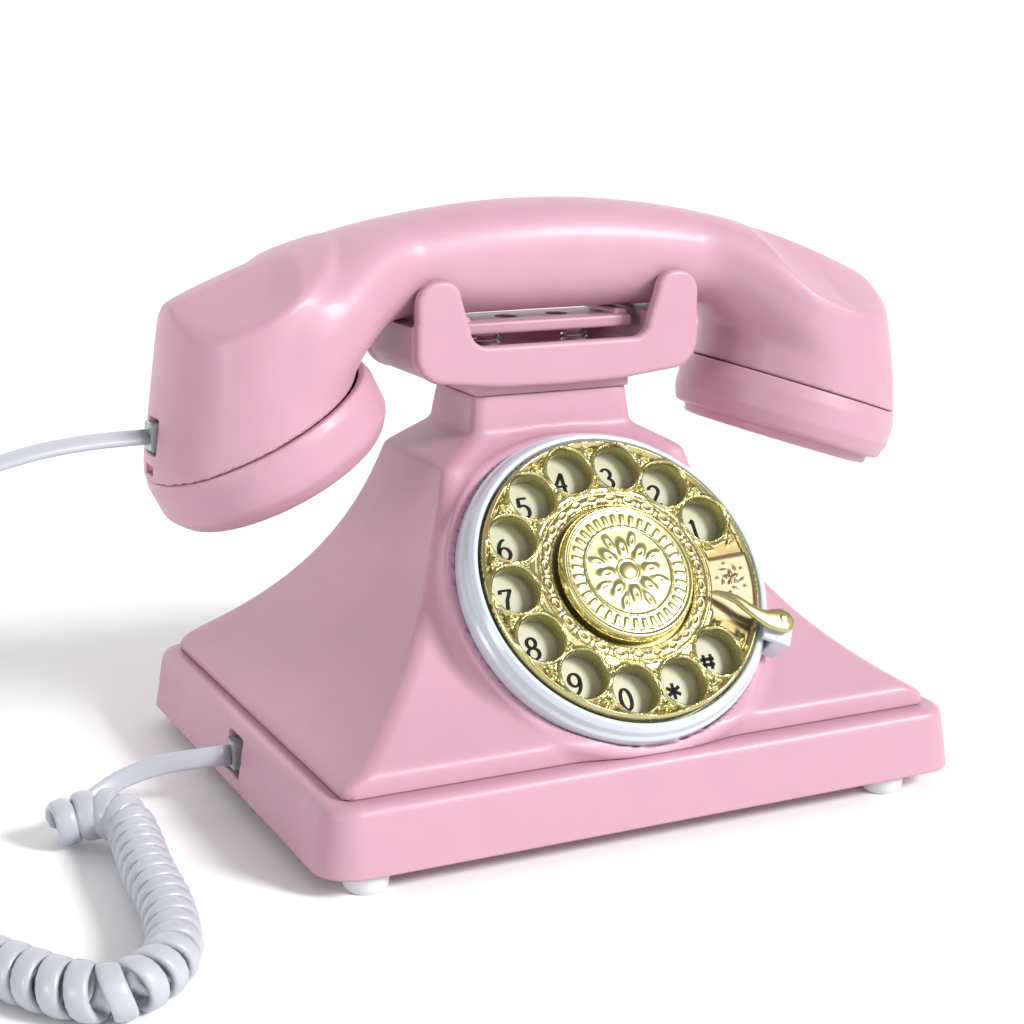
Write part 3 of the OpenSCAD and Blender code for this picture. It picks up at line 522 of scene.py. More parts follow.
def softened_profile(z, spread=0.9):
    """The profile averaged over a short height, which rounds its level edges."""
    samples = [profile_at(z + k * spread) for k in (-1, -0.5, 0, 0.5, 1)]
    return [sum(s[i] for s in samples) / len(samples) for i in range(3)]


def pyramid_field(x, y, z, inset=0.0, corner=3.5):
    half_w, front, rear = softened_profile(z)
    mid, half_d = (rear - front) / 2, (rear + front) / 2
    d = rect_field(x - STAND_X, y - mid, half_w - inset, half_d - inset, corner)
    return d / np.clip(1 + 0.55 * np.exp((28.0 - z) / 30), 1, 1.6)


DRUM_R, DRUM_BORE, DRUM_TOP, BEZEL_R = 47.0, 43.6, -9.0, 44.5


def body_field(x, y, z):
    right, up, out = from_dial(x, y, z)
    radius = np.sqrt(right ** 2 + up ** 2)
    drum = blend_max(radius - (DRUM_R + (DRUM_TOP - out) * 0.06), out - DRUM_TOP, 1.6)
    drum = blend_max(drum, -out - 46.0, 1.0)
    outer = blend_min(pyramid_field(x, y, z), drum, 5.0)
    seat = np.maximum(radius - BEZEL_R - 0.3, DRUM_TOP - out)
    outer = blend_max(outer, -seat, 0.5)
    outer = blend_max(outer, SKIRT_TOP - z, 0.6)
    outer = blend_max(outer, z - NECK_TOP_Z, 0.6)
    inner = pyramid_field(x, y, z, SHELL_WALL, 1.5)
    bore = np.maximum(radius - DRUM_BORE, -out - 46.0)
    hollow = blend_min(inner, bore, 0.6)
    return blend_max(outer, -hollow, 0.6)


def make_body():
    low = (STAND_X - 90, -78, SKIRT_TOP - 2)
    high = (STAND_X + 90, 72, NECK_TOP_Z + 2)
    body = solid_of("phone_body", body_field, low, high, 1.0)
    finish_piece(body, "base", "pink_plastic", PINK, "body_shell")


def skirt_field(x, y, z):
    lean = (z - FOOT_H) * 0.16
    side = rect_field(x - STAND_X, y, BASE_HALF_W - lean, BASE_HALF_D - lean, 11.0 - lean)
    d = blend_max(side, z - SKIRT_TOP, 3.0)
    d = blend_max(d, FOOT_H - z, 0.8)
    inner = rect_field(x - STAND_X, y, BASE_HALF_W - 2.7 - lean, BASE_HALF_D - 2.7 - lean,
                       8.5 - lean)
    inner = np.maximum(inner, z - (SKIRT_TOP - 2.5))
    d = blend_max(d, -inner, 0.6)
    window = box_field(x, y, z, [STAND_X, 0, SKIRT_TOP], [78, 60, 5], 2.0)
    d = blend_max(d, -window, 0.6)
    jack = box_field(x, y, z, [STAND_X - BASE_HALF_W, BASE_JACK_Y, BASE_JACK_Z],
                     [8, 5.5, 5.5], 0.8)
    line = box_field(x, y, z, [STAND_X + 30, BASE_HALF_D, 14.0], [6, 8, 4.5], 0.8)
    ringer = box_field(x, y, z, [STAND_X - 30, BASE_HALF_D, 14.0], [6, 8, 2.0], 0.8)
    for hole in (jack, line, ringer):
        d = blend_max(d, -hole, 0.6)
    return d


def make_skirt():
    low = (STAND_X - BASE_HALF_W - 2, -BASE_HALF_D - 2, FOOT_H - 2)
    high = (STAND_X + BASE_HALF_W + 2, BASE_HALF_D + 2, SKIRT_TOP + 2)
    skirt = solid_of("base_frame", skirt_field, low, high, 0.8)
    finish_piece(skirt, "base", "pink_plastic", PINK, "base_skirt")


def make_feet():
    low, high = node_box("feet")
    inset = 6.4
    outline = fillet([(0, 0), (5.0, 0), (5.7, 1.2), (6.4, FOOT_H), (0, FOOT_H)],
                     [0, 0.8, 1.0, 0.3, 0])
    pieces = []
    for x in (low[0] + inset, high[0] - inset):
        for y in (low[1] + inset, high[1] - inset):
            foot = lathe("foot_part", outline, lambda p, x=x, y=y: p + [x, y, 0], 48, False)
            pieces.append(foot)
    finish_piece(joined("base_feet", pieces), "base", "white_plastic", FOOT, "feet")


def joined(name, pieces):
    """One object from several, all still at the row frame's origin."""
    bm = bmesh.new()
    for piece in pieces:
        bm.from_mesh(piece.data)
        bpy.data.objects.remove(piece)
    mesh = bpy.data.meshes.new(name)
    bm.to_mesh(mesh)
    bm.free()
    obj = bpy.data.objects.new(name, mesh)
    bpy.context.scene.collection.objects.link(obj)
    return obj


# ---- cradle and hook -------------------------------------------------------------


def arc_stroke(cx, cy, rx, ry, a0, a1, n=18):
    """Points along part of an ellipse, angles in degrees."""
    return [(cx + rx * math.cos(math.radians(a0 + (a1 - a0) * i / n)),
             cy + ry * math.sin(math.radians(a0 + (a1 - a0) * i / n))) for i in range(n + 1)]


def arc_points(cx, cy, r, a0, a1):
    return arc_stroke(cx, cy, r, r, a0, a1, 8)


def mirrored(points):
    return points + [(-x, y) for x, y in reversed(points)]


SADDLE = [(0.0, 110.9), (18.0, 111.2)] + arc_points(35, 121, 8, -90, 0)
YOKE = mirrored(SADDLE + arc_points(36.6, 134.2, 6.4, 0, 90) + arc_points(35.2, 135.6, 5, 90, 178)
                + arc_points(22.5, 127.4, 5, 0, -90))
TROUGH = mirrored(SADDLE + [(43, 128.4), (31, 128.4), (31, 119), (29, 117)])
YOKE_HALF_D, YOKE_T = 19.7, 4.0


def cradle_field(x, y, z):
    sx, sy = x - STAND_X, np.abs(y - NECK_Y)
    yoke = polygon_field(sx, z, YOKE)
    plate = np.abs(sy - (YOKE_HALF_D - YOKE_T / 2)) - YOKE_T / 2
    yoke = blend_max(yoke, plate, 1.5)
    trough = blend_max(polygon_field(sx, z, TROUGH), sy - (YOKE_HALF_D - 1.0), 1.0)
    spigot = box_field(sx, y, z, [0, NECK_Y, 110.0], [23.8, 14.6, 2.0], 0.5)
    d = blend_min(blend_min(yoke, trough, 1.2), spigot, 0.8)
    for s in (-14.0, 14.0):
        bore = np.sqrt((sx - s) ** 2 + (y - NECK_Y) ** 2) - 2.9
        d = blend_max(d, -bore, 0.4)
    return d


def hook_field(x, y, z):
    sx = x - STAND_X
    d = box_field(sx, y, z, [0, NECK_Y, 125.9], [27, 10, 1.7], 0.8)
    for s in (-1, 1):
        d = blend_min(d, box_field(sx, y, z, [s * 24.6, NECK_Y, 128.0], [2.2, 8, 1.1], 0.9), 0.8)
        dimple = np.sqrt((sx - s * 8) ** 2 + (y - NECK_Y) ** 2) - 3.0
        d = blend_max(d, -np.maximum(dimple, 126.0 - z), 0.5)
        post = np.sqrt((sx - s * 14) ** 2 + (y - NECK_Y) ** 2)
        post = np.maximum(post - 2.55, np.maximum(z - 125, 98.2 - z))
        d = blend_min(d, post, 0.6)
    return d


def make_cradle():
    cradle = solid_of("saddle_cradle", cradle_field, (STAND_X - 45, NECK_Y - 21.5, 106),
                      (STAND_X + 45, NECK_Y + 21.5, 142.5), 0.6)
    finish_piece(cradle, "base", "pink_plastic", PINK, "cradle")
    bar = solid_of("hook_bar_cover", hook_field, (STAND_X - 29, NECK_Y - 11.5, 96.5),
                   (STAND_X + 29, NECK_Y + 11.5, 131), 0.5)
    finish_piece(bar, "hook", "pink_plastic", PINK, "hook_bar")


# ---- handset ---------------------------------------------------------------------

CUP_R = 32.5
MOUTH = dict(at=np.array([-86.3, NECK_Y, 104.3]), tilt=27.0, sign=1.0, half_x=29.0,
             lean=0.132, curve=0.0)
EAR = dict(at=np.array([84.5, NECK_Y, 102.4]), tilt=18.0, sign=-1.0, half_x=30.7,
           lean=0.0, curve=0.0044)
ARC_R, ARC_X, ARC_TOP = 250.0, -2.5, 160.4
HANDLE_LOW, ROOF_FALL, HANDSET_WALL = 129.5, 8.0, 3.2
RIDGE_HALF, HOLLOW_EDGE = 3.2, 28.5


def cup_axes(cup):
    """A cup's own axes: across the rim, and out along its axis."""
    tilt = math.radians(cup["tilt"]) * cup["sign"]
    out = np.array([math.sin(tilt), 0.0, -math.cos(tilt)])
    rim = np.array([math.cos(tilt), 0.0, math.sin(tilt)])
    return rim, out


def in_cup(cup, x, y, z):
    rim, out = cup_axes(cup)
    dx, dy, dz = x - cup["at"][0], y - cup["at"][1], z - cup["at"][2]
    u = dx * rim[0] + dz * rim[2]
    w = dx * out[0] + dz * out[2]
    return np.sqrt(u ** 2 + dy ** 2), w, u


def arc_top(x):
    return ARC_TOP - ARC_R + np.sqrt(ARC_R ** 2 - (x - ARC_X) ** 2)


def handle_field(x, y, z, inset=0.0):
    """The arched bar, which spreads to the cups and drops its underside."""
    ax = np.abs(x)
    top = arc_top(x) - inset
    u = ax - 50.0
    low = HANDLE_LOW - 0.415 * (np.sqrt(u ** 2 + 16) + u) + inset
    half = 15.2 + 14.4 * ease((ax - 42) / 34) - 5.8 * ease((ax - 92) / 24) - inset
    mid, high = (top + low) / 2, (top - low) / 2
    power = 2.25 + ease((ax - 50) / 20) * (1.6 * ease((mid - z) / 4) - 0.4)
    q = (np.abs((y - NECK_Y) / half) ** power
         + np.abs((z - mid) / high) ** power) ** (1 / power)
    return (q - 1) * np.minimum(half, high)


def cup_side(cup, x, y, z, inset=0.0):
    """The wall of the upright oval drum, which leans in towards the top."""
    up = np.clip(z - 94.0, 0, 60)
    half_x = cup["half_x"] - cup["lean"] * up - cup["curve"] * up ** 2 - inset
    half_y = CUP_R - 0.09 * up - inset
    q = np.sqrt(((x - cup["at"][0]) / half_x) ** 2 + ((y - NECK_Y) / half_y) ** 2)
    return (q - 1) * half_x


def cup_field(cup, x, y, z, inset=0.0):
    """The upright oval drum that the cap screws onto."""
    roof = arc_top(x) - ROOF_FALL * (np.abs(y - NECK_Y) / 28) ** 2
    return blend_max(cup_side(cup, x, y, z, inset), z - roof + inset, 3.0)




def hollow_top(x, y):
    """Height of the finger hollows beside the spine, front and rear alike."""
    q = np.clip((np.abs(y - NECK_Y) - RIDGE_HALF) / (HOLLOW_EDGE - RIDGE_HALF), 0, 1)
    left = np.maximum(-x - 76.5, 0)
    right = np.maximum(x - 60.0, 0)
    depth = np.where(x < 0, 10.8 * (1 - np.exp(-left / 7)),
                     15.8 * (1 - np.exp(-right / 6)) - 0.3 * np.maximum(right - 27, 0))
    clear = 3 * np.exp(-(left + right) / 3)
    return arc_top(x) + clear - depth * (1 - (1 - q) ** 1.6)


def handset_field(x, y, z):
    outer = handle_field(x, y, z)
    for cup in (MOUTH, EAR):
        beyond = (x - cup["at"][0]) * np.sign(cup["at"][0]) > 0
        outer = np.where(beyond, blend_max(outer, cup_side(cup, x, y, z), 1.0), outer)
    soft = 1.2 + np.where(x < 0, 3.8, 1.2) * ease((arc_top(x) - 5 - z) / 8)
    soft = soft * (1 - 0.88 * ease((np.abs(x) - 76) / 14))
    for cup in (MOUTH, EAR):
        outer = blend_min(outer, cup_field(cup, x, y, z), soft)
    ceiling = hollow_top(x, y)
    outer = blend_max(outer, z - ceiling, 2.6)
    inner = np.maximum(handle_field(x, y, z, HANDSET_WALL), np.abs(x) - 100)
    for cup in (MOUTH, EAR):
        radius, w, _ = in_cup(cup, x, y, z)
        outer = blend_max(outer, -np.maximum(radius - 36.5, 0.05 - w), 0.7)
        inner = np.minimum(inner, np.maximum(cup_side(cup, x, y, z, 3.0), z - 116))
    inner = np.maximum(inner, z - ceiling + 3.4)
    d = blend_max(outer, -inner, 0.8)
    jack = box_field(x, y, z, [-115, NECK_Y, HANDSET_JACK_Z], [14, 4.4, 4.7], 0.6)
    notch = box_field(x, y, z, [-116.5, NECK_Y, 92.6], [3, 3.2, 1.3], 0.4)
    return blend_max(blend_max(d, -jack, 0.5), -notch, 0.4)


HOLE_ROWS = ((6, 6), (12, 12))


def sound_holes(radius, u, v, rows):
    """Distance to the nearest of the round holes in a cap."""
    d = radius - 1.1
    for ring_r, count in rows:
        for i in range(count):
            a = 2 * math.pi * i / count
            d = np.minimum(d, np.sqrt((u - ring_r * math.cos(a)) ** 2
                                      + (v - ring_r * math.sin(a)) ** 2) - 1.1)
    return d


MOUTH_OUTLINE = fillet(
    [(30.4, 0.25), (32.5, 0.25), (33.3, 3), (33.3, 12), (29.5, 17.4), (20, 17.0), (0, 15.6),
     (0, 12.8), (26.5, 13.4), (29.6, 10.5), (30.4, 0.25)],
    [0, 0.7, 4, 5, 5, 9, 0, 0, 2, 2, 0])[:-1]
EAR_OUTLINE = fillet(
    [(30.4, 0.25), (32.5, 0.25), (33.5, 4), (33.4, 10), (31.8, 14.7), (28.6, 15.1), (28.4, 17.3),
     (25.0, 17.7), (14, 14.6), (0, 13.6), (0, 10.8), (26.8, 11.2), (29.6, 8.5), (30.4, 0.25)],
    [0, 0.7, 4, 4, 2.2, 0.4, 1.2, 2, 8, 0, 0, 2, 2, 0])[:-1]


def cap_field(cup, outline):
    def field(x, y, z):
        radius, w, u = in_cup(cup, x, y, z)
        d = polygon_field(radius, w, outline)
        holes = sound_holes(radius, u, y - cup["at"][1], HOLE_ROWS)
        return blend_max(d, -np.maximum(holes, 8 - w), 0.4)
    return field


def make_handset():
    shell = solid_of("handset_body", handset_field, (-117.5, NECK_Y - 35, 84),
                     (117.5, NECK_Y + 35, 162), 0.85)
    finish_piece(shell, "handset", "pink_plastic", PINK, "handset_shell")
    for name, cup, outline, node in (
            ("mouth_cap", MOUTH, MOUTH_OUTLINE, "mouthpiece_cap"),
            ("ear_cap", EAR, EAR_OUTLINE, "earpiece_cap")):
        rim, out = cup_axes(cup)
        corners = [cup["at"] + s * rim * 35 + t * out * 19 for s in (-1, 1) for t in (-0.1, 1)]
        low, high = np.min(corners, 0) - [1, 35, 1], np.max(corners, 0) + [1, 35, 1]
        cap = solid_of(name, cap_field(cup, outline), low, high, 0.6)
        finish_piece(cap, "handset", "pink_plastic", PINK, node)


# ---- dial ------------------------------------------------------------------------

WHEEL_R, HOLE_CIRCLE, HOLE_R = 39.9, 32.0, 6.4
FIRST_HOLE, HOLE_PITCH, HOLES = 24.6, 25.93, 12
HOLE_ANGLES = [FIRST_HOLE + HOLE_PITCH * i for i in range(HOLES)]
GAP_ANGLE = FIRST_HOLE - HOLE_PITCH * 1.45
CAP_R, RECESS_R, BEAD_R = 19.3, 20.4, 22.5


def bump_at(x, y, cx, cy, along, length, width, height):
    """A rounded lobe, longer along one direction."""
    c, s = math.cos(along), math.sin(along)
    u, v = (x - cx) * c + (y - cy) * s, -(x - cx) * s + (y - cy) * c
    return height * np.exp(-(u / length) ** 2 - (v / width) ** 2)


def ridge(distance, width, height):
    return height * np.exp(-(distance / width) ** 2)


def polar(r, degrees):
    a = math.radians(degrees)
    return r * math.cos(a), r * math.sin(a)


def leaf_motif(x, y, angle, r, size, outward):
    """A three-lobed leaf with a bead, pointing in or out along a spoke."""
    h = 0
    a = math.radians(angle)
    turn = 0 if outward else math.pi
    for spread, reach in ((0, 1.5), (0.85, 1.15), (-0.85, 1.15), (1.7, 0.8), (-1.7, 0.8)):
        way = a + turn + spread
        cx = r * math.cos(a) + size * reach * 0.55 * math.cos(way)
        cy = r * math.sin(a) + size * reach * 0.55 * math.sin(way)
        h = h + bump_at(x, y, cx, cy, way, size * 0.62 * reach, size * 0.26, 0.62)
    return h + bump_at(x, y, *polar(r, angle), 0, size * 0.3, size * 0.3, 0.5)


def hole_distance(x, y):
    d = np.full(np.shape(x), 1e9)
    for a in HOLE_ANGLES:
        cx, cy = polar(HOLE_CIRCLE, a)
        d = np.minimum(d, np.sqrt((x - cx) ** 2 + (y - cy) ** 2) - HOLE_R)
    return d


def angle_from(x, y, degrees):
    a = np.degrees(np.arctan2(y, x)) - degrees
    return (a + 180) % 360 - 180


def wheel_height(x, y):
    """Relief of the finger wheel's face: rims, scrolls, beads and a plain gap."""
    r = np.hypot(x, y)
    hole = hole_distance(x, y)
    gap = angle_from(x, y, GAP_ANGLE)
    in_gap = ease((17.5 - np.abs(gap)) / 2.5) * ease((r - 25.2) / 0.8)
    h = np.full(np.shape(x), -0.75)
    ground = ease((hole - 0.9) / 0.5) * ease((38.4 - r) / 0.5) * ease((r - 26.2) / 0.8)
    h = h - 0.55 * ground * (1 - in_gap)
    scroll = 0
    for i in range(HOLES - 1):
        between = HOLE_ANGLES[i] + HOLE_PITCH / 2
        scroll = scroll + leaf_motif(x, y, between, 37.0, 2.1, False)
        scroll = scroll + leaf_motif(x, y, between, 27.6, 1.7, True)
        for side in (-1, 1):
            scroll = scroll + bump_at(x, y, *polar(37.4, between + side * 5.2),
                                      math.radians(between + 90), 1.0, 0.42, 0.7)
            scroll = scroll + bump_at(x, y, *polar(29.8, between + side * 1.6),
                                      math.radians(between + side * 40), 1.1, 0.3, 0.45)
    for edge in (HOLE_ANGLES[0] - 12.5, HOLE_ANGLES[-1] + 12.5):
        scroll = scroll + leaf_motif(x, y, edge, 36.4, 1.9, False)
        scroll = scroll + leaf_motif(x, y, edge, 27.8, 1.6, True)
    h = h + scroll * ground * (1 - 0.8 * in_gap)
    h = h - 0.3 * in_gap
    h = h + in_gap * ornament(x, y, *polar(32.3, GAP_ANGLE + 5))
    h = h + ridge(hole - 0.55, 0.42, 0.75) * ease((hole + 0.2) / 0.2)
    h = h + ridge(r - 39.2, 0.55, 0.75)
    h = h + ridge(r - 25.3, 0.35, 0.22)
    for ring in (24.3, 20.9):
        h = h + ridge(r - ring, 0.24, 0.4)
    return h + beads(x, y, r)


def ornament(x, y, cx, cy):
    """Five small petals with a few sprigs, on the plain gap."""
    h = bump_at(x, y, cx, cy, 0, 0.5, 0.5, 0.45)
    for i in range(5):
        a = math.radians(72 * i + 20)
        h = h + bump_at(x, y, cx + 1.35 * math.cos(a), cy + 1.35 * math.sin(a), a, 0.75, 0.4, 0.4)
        h = h + bump_at(x, y, cx + 3.1 * math.cos(a + 0.6), cy + 3.1 * math.sin(a + 0.6),
                        a + 1.5, 0.8, 0.25, 0.3)
        h = h + bump_at(x, y, cx + 4.4 * math.cos(a + 0.2), cy + 4.4 * math.sin(a + 0.2),
                        a, 0.3, 0.3, 0.3)
    return h


def beads(x, y, r, count=26):
    """A band of hollow ovals with a dot between each two."""
    theta = np.arctan2(y, x)
    pitch = 2 * math.pi / count
    local = (theta + pitch / 2) % pitch - pitch / 2
    along = local * BEAD_R
    oval = np.sqrt((along / 1.55) ** 2 + ((r - BEAD_R) / 0.85) ** 2)
    h = ridge(oval - 1, 0.3, 0.26)
    other = (theta % pitch - pitch / 2) * BEAD_R
    dot = np.sqrt((other / 0.5) ** 2 + ((r - BEAD_R) / 0.8) ** 2)
    return (h + 0.3 * np.exp(-dot ** 2)) * ease((1.6 - np.abs(r - BEAD_R)) / 0.3)


def cap_height(x, y):
    """Relief of the centre cap: rim, a ring of short bars, and a rosette."""
    r = np.hypot(x, y)
    theta = np.arctan2(y, x)
    h = np.full(np.shape(x), 2.4)
    h = h - 1.5 * np.clip((r - 18.4) / 0.9, 0, 1) ** 2
    h = h + ridge(r - 18.2, 0.55, 0.35)
    h = h + ridge(r - 12.6, 0.3, 0.3)
    h = h + ridge(r - 17.0, 0.18, 0.16)
    count = 36
    pitch = 2 * math.pi / count
    local = ((theta + pitch / 2) % pitch - pitch / 2) * 14.9
    bar = np.exp(-(local / 0.55) ** 4) * np.exp(-((r - 14.9) / 1.35) ** 4)
    h = h + 0.3 * bar - 0.14 * np.exp(-(local / 0.22) ** 2) * np.exp(-((r - 14.9) / 1.0) ** 4)
    petals = 8
    pitch = 2 * math.pi / petals
    for shift, reach, wide, height in ((0, 6.6, 1.5, 0.42), (pitch / 2, 9.0, 1.05, 0.3)):
        local = ((theta + shift + pitch / 2) % pitch - pitch / 2) * r
        petal = np.sqrt((local / wide) ** 2 + ((r - reach) / 2.5) ** 2)
        h = h + height * np.exp(-petal ** 4) - 0.2 * np.exp(-(petal / 0.35) ** 2)
    h = h + 0.55 * np.sqrt(np.clip(1 - (r / 2.6) ** 2, 0, 1))
    return h + ridge(r - 3.2, 0.25, 0.2)


def relief_disc(name, height, outer_r, levels, step, hole_field=None, inner_r=0.0):
    """A plate whose face is a height map, cut cleanly at its rim and its holes."""
    axis = np.arange(-outer_r - step, outer_r + 2 * step, step)
    x, y = np.meshgrid(axis, axis, indexing="ij")

    def edge(px, py):
        d = np.hypot(px, py) - outer_r
        if inner_r:
            d = np.maximum(d, inner_r - np.hypot(px, py))
        if hole_field is not None:
            d = np.maximum(d, -hole_field(px, py))
        return d

    inside = edge(x, y) < 0
    keep = inside[:-1, :-1] | inside[1:, :-1] | inside[:-1, 1:] | inside[1:, 1:]
    near = edge(x, y) < 1.2 * step
    keep &= near[:-1, :-1] & near[1:, :-1] & near[:-1, 1:] & near[1:, 1:]
    full = inside[:-1, :-1].astype(int) + inside[1:, :-1] + inside[:-1, 1:] + inside[1:, 1:]
    keep &= full >= 2
    index = np.arange(x.size).reshape(x.shape)
    i, j = np.nonzero(keep)
    quads = np.stack([index[i, j], index[i + 1, j], index[i + 1, j + 1], index[i, j + 1]], 1)
    used, quads = np.unique(quads, return_inverse=True)
    quads = quads.reshape(-1, 4)
    px, py = x.ravel()[used], y.ravel()[used]
    edges = dict.fromkeys((q[k], q[(k + 1) % 4]) for q in quads.tolist() for k in range(4))
    border = [e for e in edges if (e[1], e[0]) not in edges]
    rim = np.unique(np.array(border))
    for _ in range(4):
        ex, ey = px[rim], py[rim]
        d = edge(ex, ey)
        gx = (edge(ex + 0.01, ey) - edge(ex - 0.01, ey)) / 0.02
        gy = (edge(ex, ey + 0.01) - edge(ex, ey - 0.01)) / 0.02
        size = np.maximum(gx ** 2 + gy ** 2, 0.1)
        px[rim] -= d * gx / size
        py[rim] -= d * gy / size
    top = np.stack([px, py, height(px, py)], 1)
    points, faces = [top], quads.tolist()
    previous = {int(v): int(v) for v in rim}
    offset = len(top)
    for level in levels:
        ring = {int(v): offset + n for n, v in enumerate(rim)}
        points.append(np.stack([px[rim], py[rim], np.full(len(rim), level)], 1))
        faces += [(previous[a], ring[a], ring[b], previous[b]) for a, b in border]
        previous = ring
        offset += len(rim)
    bottom = top.copy()
    bottom[:, 2] = levels[-1]
    faces += [tuple(offset + v for v in reversed(q)) for q in quads.tolist()]
    points.append(bottom)
    obj = new_object(name, on_dial(np.concatenate(points)), faces)
    tidy(obj)
    smooth_by_angle(obj, 50)
    return obj


def make_wheel():
    wheel = relief_disc("dial_wheel", wheel_height, WHEEL_R, [-3.6], 0.25, hole_distance,
                        RECESS_R)
    lips = []
    for a in HOLE_ANGLES:
        cx, cy = polar(HOLE_CIRCLE, a)
        outline = fillet([(6.4, -0.9), (6.4, -5.0), (7.1, -5.0), (7.1, -0.9), (6.4, -0.9)],
                         [0, 0.2, 0.2, 0.2, 0])[:-1]
        lips.append(lathe("lip", outline, lambda p, cx=cx, cy=cy: on_dial(p + [cx, cy, 0]), 64))
    skirt = lathe("wheel_skirt", fillet(
        [(39.85, -0.9), (39.85, -4.2), (38.7, -4.2), (38.7, -0.9), (39.85, -0.9)],
        [0, 0.3, 0.3, 0.2, 0])[:-1], on_dial, 192)
    floor = lathe("recess_floor", fillet(
        [(3.0, -3.6), (3.0, -1.9), (20.5, -1.9), (20.5, -3.6), (3.0, -3.6)],
        [0, 0.1, 0.1, 0.1, 0])[:-1], on_dial, 128)
    wheel_mesh = joined("dial_wheel_face", [wheel] + lips + [skirt, floor])
    smooth_by_angle(wheel_mesh, 50)
    finish_piece(wheel_mesh, "dial", "gold_finish", GOLD, "finger_wheel")
    wheel_mesh.data.materials.append(SATIN_GOLD)
    # The third slot holds the painted shade in the wheel's recesses.
    wheel_mesh.data.materials.append(RECESS_SHADE_GOLD)
    paint_gap_and_recess_shade(wheel_mesh)
    cap = relief_disc("dial_cap", cap_height, CAP_R, [0.4, -1.7], 0.2)
    finish_piece(cap, "dial", "gold_finish", GOLD, "centre_cap")


def paint_gap_and_recess_shade(obj):
    """A duller finish on the plain gap, and painted shade: a darker gold on the sunk ground behind the relief,
    between the beads and on the recess floor under the cap.
    """
    mesh = obj.data
    centres = np.empty(len(mesh.polygons) * 3)
    mesh.polygons.foreach_get("center", centres)
    p = centres.reshape(-1, 3) / MM - DIAL_AT
    u, v, w = p @ DIAL_RIGHT, p @ DIAL_UP, p @ DIAL_OUT
    r = np.hypot(u, v)
    dull = (np.abs(angle_from(u, v, GAP_ANGLE)) < 16.6) & (r > 25.6) & (r < 38.6) & (w > -1.6)
    # Painted shade: the sunk ground, the lows between the beads and the recess floor under the cap take the darker
    # gold.
    ground = (hole_distance(u, v) > 0.8) & (r > 26) & (r < 38.6) & (w < -1.0) & (w > -1.6) & ~dull
    between = (np.abs(r - BEAD_R) < 1.3) & (w < -0.66) & (w > -1.6)
    recess = (r < RECESS_R + 0.1) & (w < -1.5)
    slots = np.where(dull, 1, np.where(ground | between | recess, 2, 0)).astype(np.int32)
    mesh.polygons.foreach_set("material_index", slots)


def make_bezel():
    outline = fillet(
        [(40.6, -9), (44.5, -9), (44.5, -5.2), (43.6, -4.3), (43.1, -2.6), (41.9, -1.2),
         (40.9, -1.35), (40.6, -2.2), (40.6, -9)],
        [0, 0.3, 0.9, 0.9, 1.2, 0.8, 0.3, 0.3, 0])[:-1]
    bezel = lathe("dial_surround", outline, on_dial, 224)
    finish_piece(bezel, "base", "white_plastic", WHITE, "dial_bezel")
    plate = lathe("dial_plate", fillet(
        [(7.0, -7.2), (7.0, -6.0), (38.8, -6.0), (40.2, -5.8), (40.2, -9), (39.2, -9),
         (39.2, -7.2), (7.0, -7.2)], [0, 0.2, 1, 0.3, 0.2, 0.2, 0.3, 0])[:-1], on_dial, 160)
    finish_piece(plate, "base", "number_card", CARD, "number_plate")


# Each digit is drawn with a broad pen along these strokes, in a box one unit high
GLYPHS = {
    "1": [[(-0.14, 0.34), (-0.02, 0.42), (0.03, 0.5), (0.03, -0.5)], [(-0.13, -0.49), (0.19, -0.49)]],
    "2": [arc_stroke(0, 0.24, 0.25, 0.25, 165, -38) + [(-0.05, -0.22), (-0.26, -0.47), (0.28, -0.47)]],
    "3": [arc_stroke(-0.01, 0.25, 0.23, 0.24, 150, -80), arc_stroke(-0.02, -0.24, 0.27, 0.26, 85, -150)],
    "4": [[(0.13, -0.5), (0.13, 0.48), (-0.3, -0.18), (0.3, -0.18)]],
    "5": [[(0.25, 0.47), (-0.16, 0.47), (-0.2, 0.06)] + arc_stroke(-0.01, -0.18, 0.27, 0.31, 125, -150)],
    "6": [arc_stroke(0.22, -0.1, 0.48, 0.6, 100, 176, 12)
          + arc_stroke(0.0, -0.2, 0.26, 0.29, 180, 540, 30)],
    "7": [[(-0.26, 0.3), (-0.24, 0.46), (0.27, 0.46), (0.02, 0.0), (-0.08, -0.5)]],
    "8": [arc_stroke(0, 0.26, 0.21, 0.23, -90, 270, 30), arc_stroke(0, -0.24, 0.27, 0.26, 90, 450, 30)],
    "9": [arc_stroke(-0.22, 0.1, 0.48, 0.6, -80, -4, 12)
          + arc_stroke(0.0, 0.2, 0.26, 0.29, 0, 360, 30)],
    "0": [arc_stroke(0, 0, 0.25, 0.49, 90, 450, 40)],
    "*": [[(0, 0), (0.38 * math.cos(math.radians(a)), 0.38 * math.sin(math.radians(a)))]
          for a in range(90, 450, 60)],
    "#": [[(-0.16, 0.36), (-0.22, -0.36)], [(0.2, 0.36), (0.14, -0.36)],
          [(-0.36, 0.13), (0.34, 0.13)], [(-0.38, -0.13), (0.32, -0.13)]],
}
LABELS = "1234567890*#"
DIGIT_H, PLATE_TOP = 5.9, -5.99


